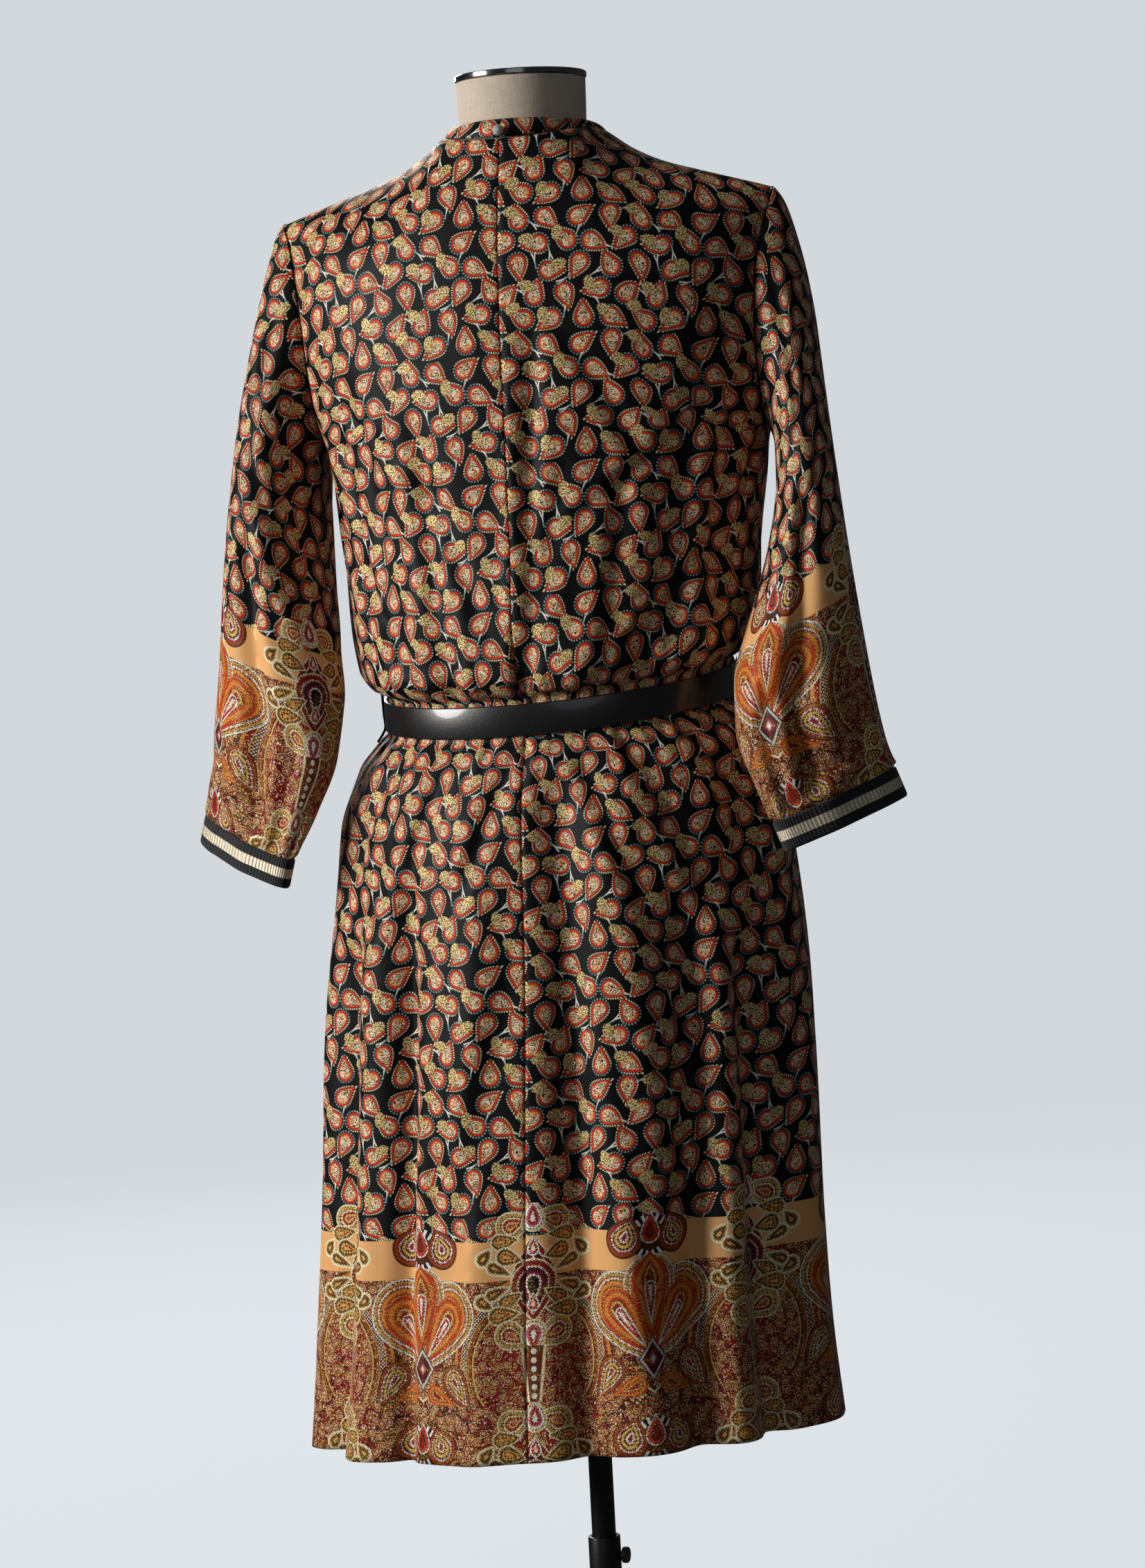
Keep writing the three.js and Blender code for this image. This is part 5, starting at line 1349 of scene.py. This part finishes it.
def keeper():
    """A narrow leather band round both layers of the strap."""
    top = BELT_CLEAR + BELT_LAYER + BELT_THICK + KEEPER_WALL
    outline = rounded_box(BELT_WIDTH / 2 + KEEPER_WALL, BELT_CLEAR + 0.1, top, 1.2)
    turns = np.array([-2.2, -2.05, 0, 2.05, 2.2])[:, None]
    swell = np.array([-0.4, 0, 0.1, 0, -0.4])[:, None]
    middle = np.array([0, BELT_CLEAR + 3])
    away = unit(outline - middle)
    height = outline[:, 0] + away[:, 0] * swell
    out = outline[:, 1] + away[:, 1] * swell
    points = belt_point(BELT_START_ANGLE + KEEPER_ANGLE + turns, height, out)
    run = np.linspace(0, KEEPER_ROUND, len(outline) + 1)
    cut = np.stack(np.broadcast_arrays(run[None, :], turns * 2.0), -1)
    return surface("keeper_leather", points, cut, leather, "belt_keeper", wall=1.0, around=True, crisp=60)


# ---- Dress form and stand ---------------------------------------------------------------------------
def turned_piece(name, profile, paint, node, y=0.0, sides=96, lie=None, knurls=0):
    """A profile of radius and height turned about an axis, its edges kept crisp; lie moves its points."""
    profile = np.array(profile, float)
    turns = np.linspace(0, math.tau, sides + 1)
    angle = turns[:-1]
    radius, height = profile[:, :1], profile[:, 1:]
    grip = 1 + 0.035 * np.sign(np.cos(knurls * angle)) * (radius == radius.max()) if knurls else 1
    points = np.stack(
        [radius * grip * np.sin(angle), y + radius * grip * np.cos(angle), height + 0 * angle], -1
    )
    if lie:
        points = lie(points)
    length = np.concatenate([[0], np.cumsum(np.linalg.norm(np.diff(profile, axis=0), axis=1))])[:, None]
    cut = np.stack(np.broadcast_arrays(turns[None, :] * profile[:, 0].max(), length), -1)
    return surface(name, points, cut, paint, node, around=True, crisp=32, poles=True)


def smooth_torso():
    """The form's torso: its solid's mesh merged and rounded, its linen laid flat against front and back."""
    mesh = NODES["form_torso"].data.copy()
    mesh.name = "torso_linen"
    merged(mesh)
    mesh.polygons.foreach_set("use_smooth", np.ones(len(mesh.polygons), bool))
    while mesh.uv_layers:
        mesh.uv_layers.remove(mesh.uv_layers[0])
    layer = mesh.uv_layers.new(name="cut")
    place = np.empty(len(mesh.vertices) * 3)
    mesh.vertices.foreach_get("co", place)
    corner = np.empty(len(mesh.loops), np.int32)
    mesh.loops.foreach_get("vertex_index", corner)
    layer.data.foreach_set("uv", place.reshape(-1, 3)[corner][:, [0, 2]].ravel())
    mesh.materials.clear()
    mesh.materials.append(linen.material)
    piece = added("torso_linen", mesh)
    finer = piece.modifiers.new("finer", "SUBSURF")
    finer.levels = finer.render_levels = 1
    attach(piece, "figure")
    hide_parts("form_torso")
    return piece


# Turned pieces: radius and height from point to point.
NECK_PROFILE = (
    (0, 1475.3), (49.5, 1475.3), (50.2, 1483), (51, 1497), (51.6, 1516), (52, 1535.4), (51.4, 1536),
    (0, 1536),
)
CAP_PROFILE = (
    (0, 1536.3), (52.2, 1536.3), (53, 1537.1), (53, 1540.3), (52.4, 1541), (49, 1541.1),
    (48, 1539.9), (0, 1540.7),
)
SOCKET_PROFILE = (
    (0, 714.7), (45.4, 714.7), (46, 714.1), (46, 710.2), (45.4, 709.6), (16.6, 706.9), (16, 706),
    (16, 669.3), (15.4, 668.7), (10.2, 668.7), (10.2, 707.7), (0, 707.7),
)
ROD_PROFILE = ((0, 150), (8.8, 150), (9.8, 151), (9.8, 707.2), (0, 707.2))
TUBE_PROFILE = ((10.4, 8.3), (11.6, 8.3), (11.6, 349), (10.4, 349), (10.4, 8.3))
COLLAR_PROFILE = (
    (11.9, 314), (12.8, 314), (13.2, 314.6), (13.2, 351), (12.9, 351.7), (12.2, 352), (10.5, 352),
    (10.5, 349.3), (11.9, 349.3), (11.9, 314),
)
BASE_PROFILE = (
    (0, 0), (149, 0), (150, 1), (150, 5), (148.8, 7), (146, 8), (60, 8.6), (25, 9.2), (21, 11),
    (19, 14), (17.4, 33), (16.6, 34), (11.9, 34), (11.9, 8), (0, 8),
)
SCREW_PROFILE = ((0, 0), (3.2, 0), (3.2, 1.6), (6, 1.8), (6.4, 2.4), (6.4, 6), (5.6, 7), (0, 7))


def screw_lies(points):
    """The screw's axis turned from upright to point away from the collar, towards -X."""
    return np.stack([-13.5 - points[..., 2], points[..., 0], 336 + points[..., 1]], -1)


for side, hang in SLEEVE_HANG.items():
    sleeve(side, hang)
    cuff(side, hang)
neckband()
belt_strap()
keeper()
smooth_torso()
turned_piece("neck_linen", NECK_PROFILE, linen, "form_neck", NECK_AXIS_Y)
turned_piece("neck_rim", CAP_PROFILE, chrome, "neck_cap", NECK_AXIS_Y)
turned_piece("socket_metal", SOCKET_PROFILE, black_metal, "pole_socket")
turned_piece("rod_metal", ROD_PROFILE, black_metal, "pole_rod")
turned_piece("tube_metal", TUBE_PROFILE, black_metal, "pole_tube")
turned_piece("collar_metal", COLLAR_PROFILE, black_metal, "pole_collar")
turned_piece("base_metal", BASE_PROFILE, black_metal, "base_plate", sides=160)
turned_piece("screw_metal", SCREW_PROFILE, black_metal, "clamp_screw", lie=screw_lies, knurls=16)

for node, paint in (
    ("nape_button", silver),
    ("buckle_frame", black_metal),
    ("buckle_prong", black_metal),
    ("belt_loop_left", thread),
    ("belt_loop_right", thread),
):
    NODES[node].data.materials.clear()
    NODES[node].data.materials.append(paint.material)


# ---- Stage, light and camera ------------------------------------------------------------------------
STAGE_GLOW = 0.7
FLOOR_REACH = 5.5  # the floor is flat out to here, in metres
WALL_BEND = 3.0
WALL_TOP = 5.5


def stage_mesh(name, profile, color, sides=96):
    """A pale floor that curves up into a wall all round."""
    profile = np.array(profile, float)
    turns = np.linspace(0, math.tau, sides, endpoint=False)
    points = np.stack(
        [profile[:, :1] * np.cos(turns), profile[:, :1] * np.sin(turns), profile[:, 1:] + 0 * turns], -1
    )
    quads = corners_of(numbered(points, True))
    mesh = bpy.data.meshes.new(name)
    mesh.from_pydata(points.reshape(-1, 3).tolist(), [], quads.tolist())
    merged(mesh)
    mesh.polygons.foreach_set("use_smooth", np.ones(len(mesh.polygons), bool))
    material = bpy.data.materials.new(name)
    material.use_nodes = True
    shader = material.node_tree.nodes["Principled BSDF"]
    shader.inputs["Base Color"].default_value = color
    shader.inputs["Roughness"].default_value = 0.9
    shader.inputs["Specular IOR Level"].default_value = 0.1
    shader.inputs["Emission Color"].default_value = (0.9, 0.96, 1.0, 1.0)
    shader.inputs["Emission Strength"].default_value = STAGE_GLOW
    mesh.materials.append(material)
    piece = added(name, mesh)
    piece.visible_diffuse = False
    piece.visible_glossy = False
    return piece


rising = np.linspace(0, math.pi / 2, 16)
wall_profile = [(0, 0), (1, 0), (3, 0), (FLOOR_REACH, 0)]
wall_profile += [
    (FLOOR_REACH + WALL_BEND * math.sin(t), WALL_BEND - WALL_BEND * math.cos(t)) for t in rising[1:]
]
wall_profile += [(FLOOR_REACH + WALL_BEND, WALL_TOP)]
stage_mesh("floor", wall_profile, (0.1, 0.102, 0.105, 1.0))


def area_light(name, place, aim, size, power, color):
    lamp = bpy.data.lights.new(name, "AREA")
    lamp.shape = "DISK"
    lamp.size = size
    lamp.energy = power
    lamp.color = color
    holder = added(name, lamp)
    holder.location = place
    holder.rotation_euler = (Vector(aim) - Vector(place)).to_track_quat("-Z", "Y").to_euler()
    holder.visible_camera = False
    return holder


LIGHT_AIM = (0, 0, 1.0)
WARM = (1.0, 0.98, 0.95)
COOL = (0.95, 0.97, 1.0)
area_light("key", (3.1, 2.0, 1.9), LIGHT_AIM, 1.5, 132, WARM)
area_light("fill", (-0.6, 4.4, 2.4), LIGHT_AIM, 2.4, 8, COOL)
area_light("front", (1.8, -3.2, 2.6), LIGHT_AIM, 2.2, 105, WARM)

world = bpy.data.worlds.new("studio")
world.use_nodes = True
background = world.node_tree.nodes["Background"]
background.inputs[0].default_value = (0.9, 0.94, 1.0, 1.0)
background.inputs[1].default_value = 0.05
bpy.context.scene.world = world
bpy.context.scene.view_settings.view_transform = "Standard"

CAMERA_PLACE = Vector((-0.9795, 3.2036, 1.156))
CAMERA_AIM = Vector((-0.006, -0.002, 0.970))
CAMERA_ROLL = math.radians(-3.0)
CAMERA_LENS = 94.8
SENSOR_WIDTH = 36
lens = bpy.data.cameras.new("camera")
lens.lens = CAMERA_LENS
lens.sensor_width = SENSOR_WIDTH
camera = added("camera", lens)
facing = (CAMERA_AIM - CAMERA_PLACE).to_track_quat("-Z", "Y")
camera.rotation_mode = "QUATERNION"
camera.rotation_quaternion = facing @ Quaternion((0, 0, 1), CAMERA_ROLL)
camera.location = CAMERA_PLACE
bpy.context.scene.camera = camera
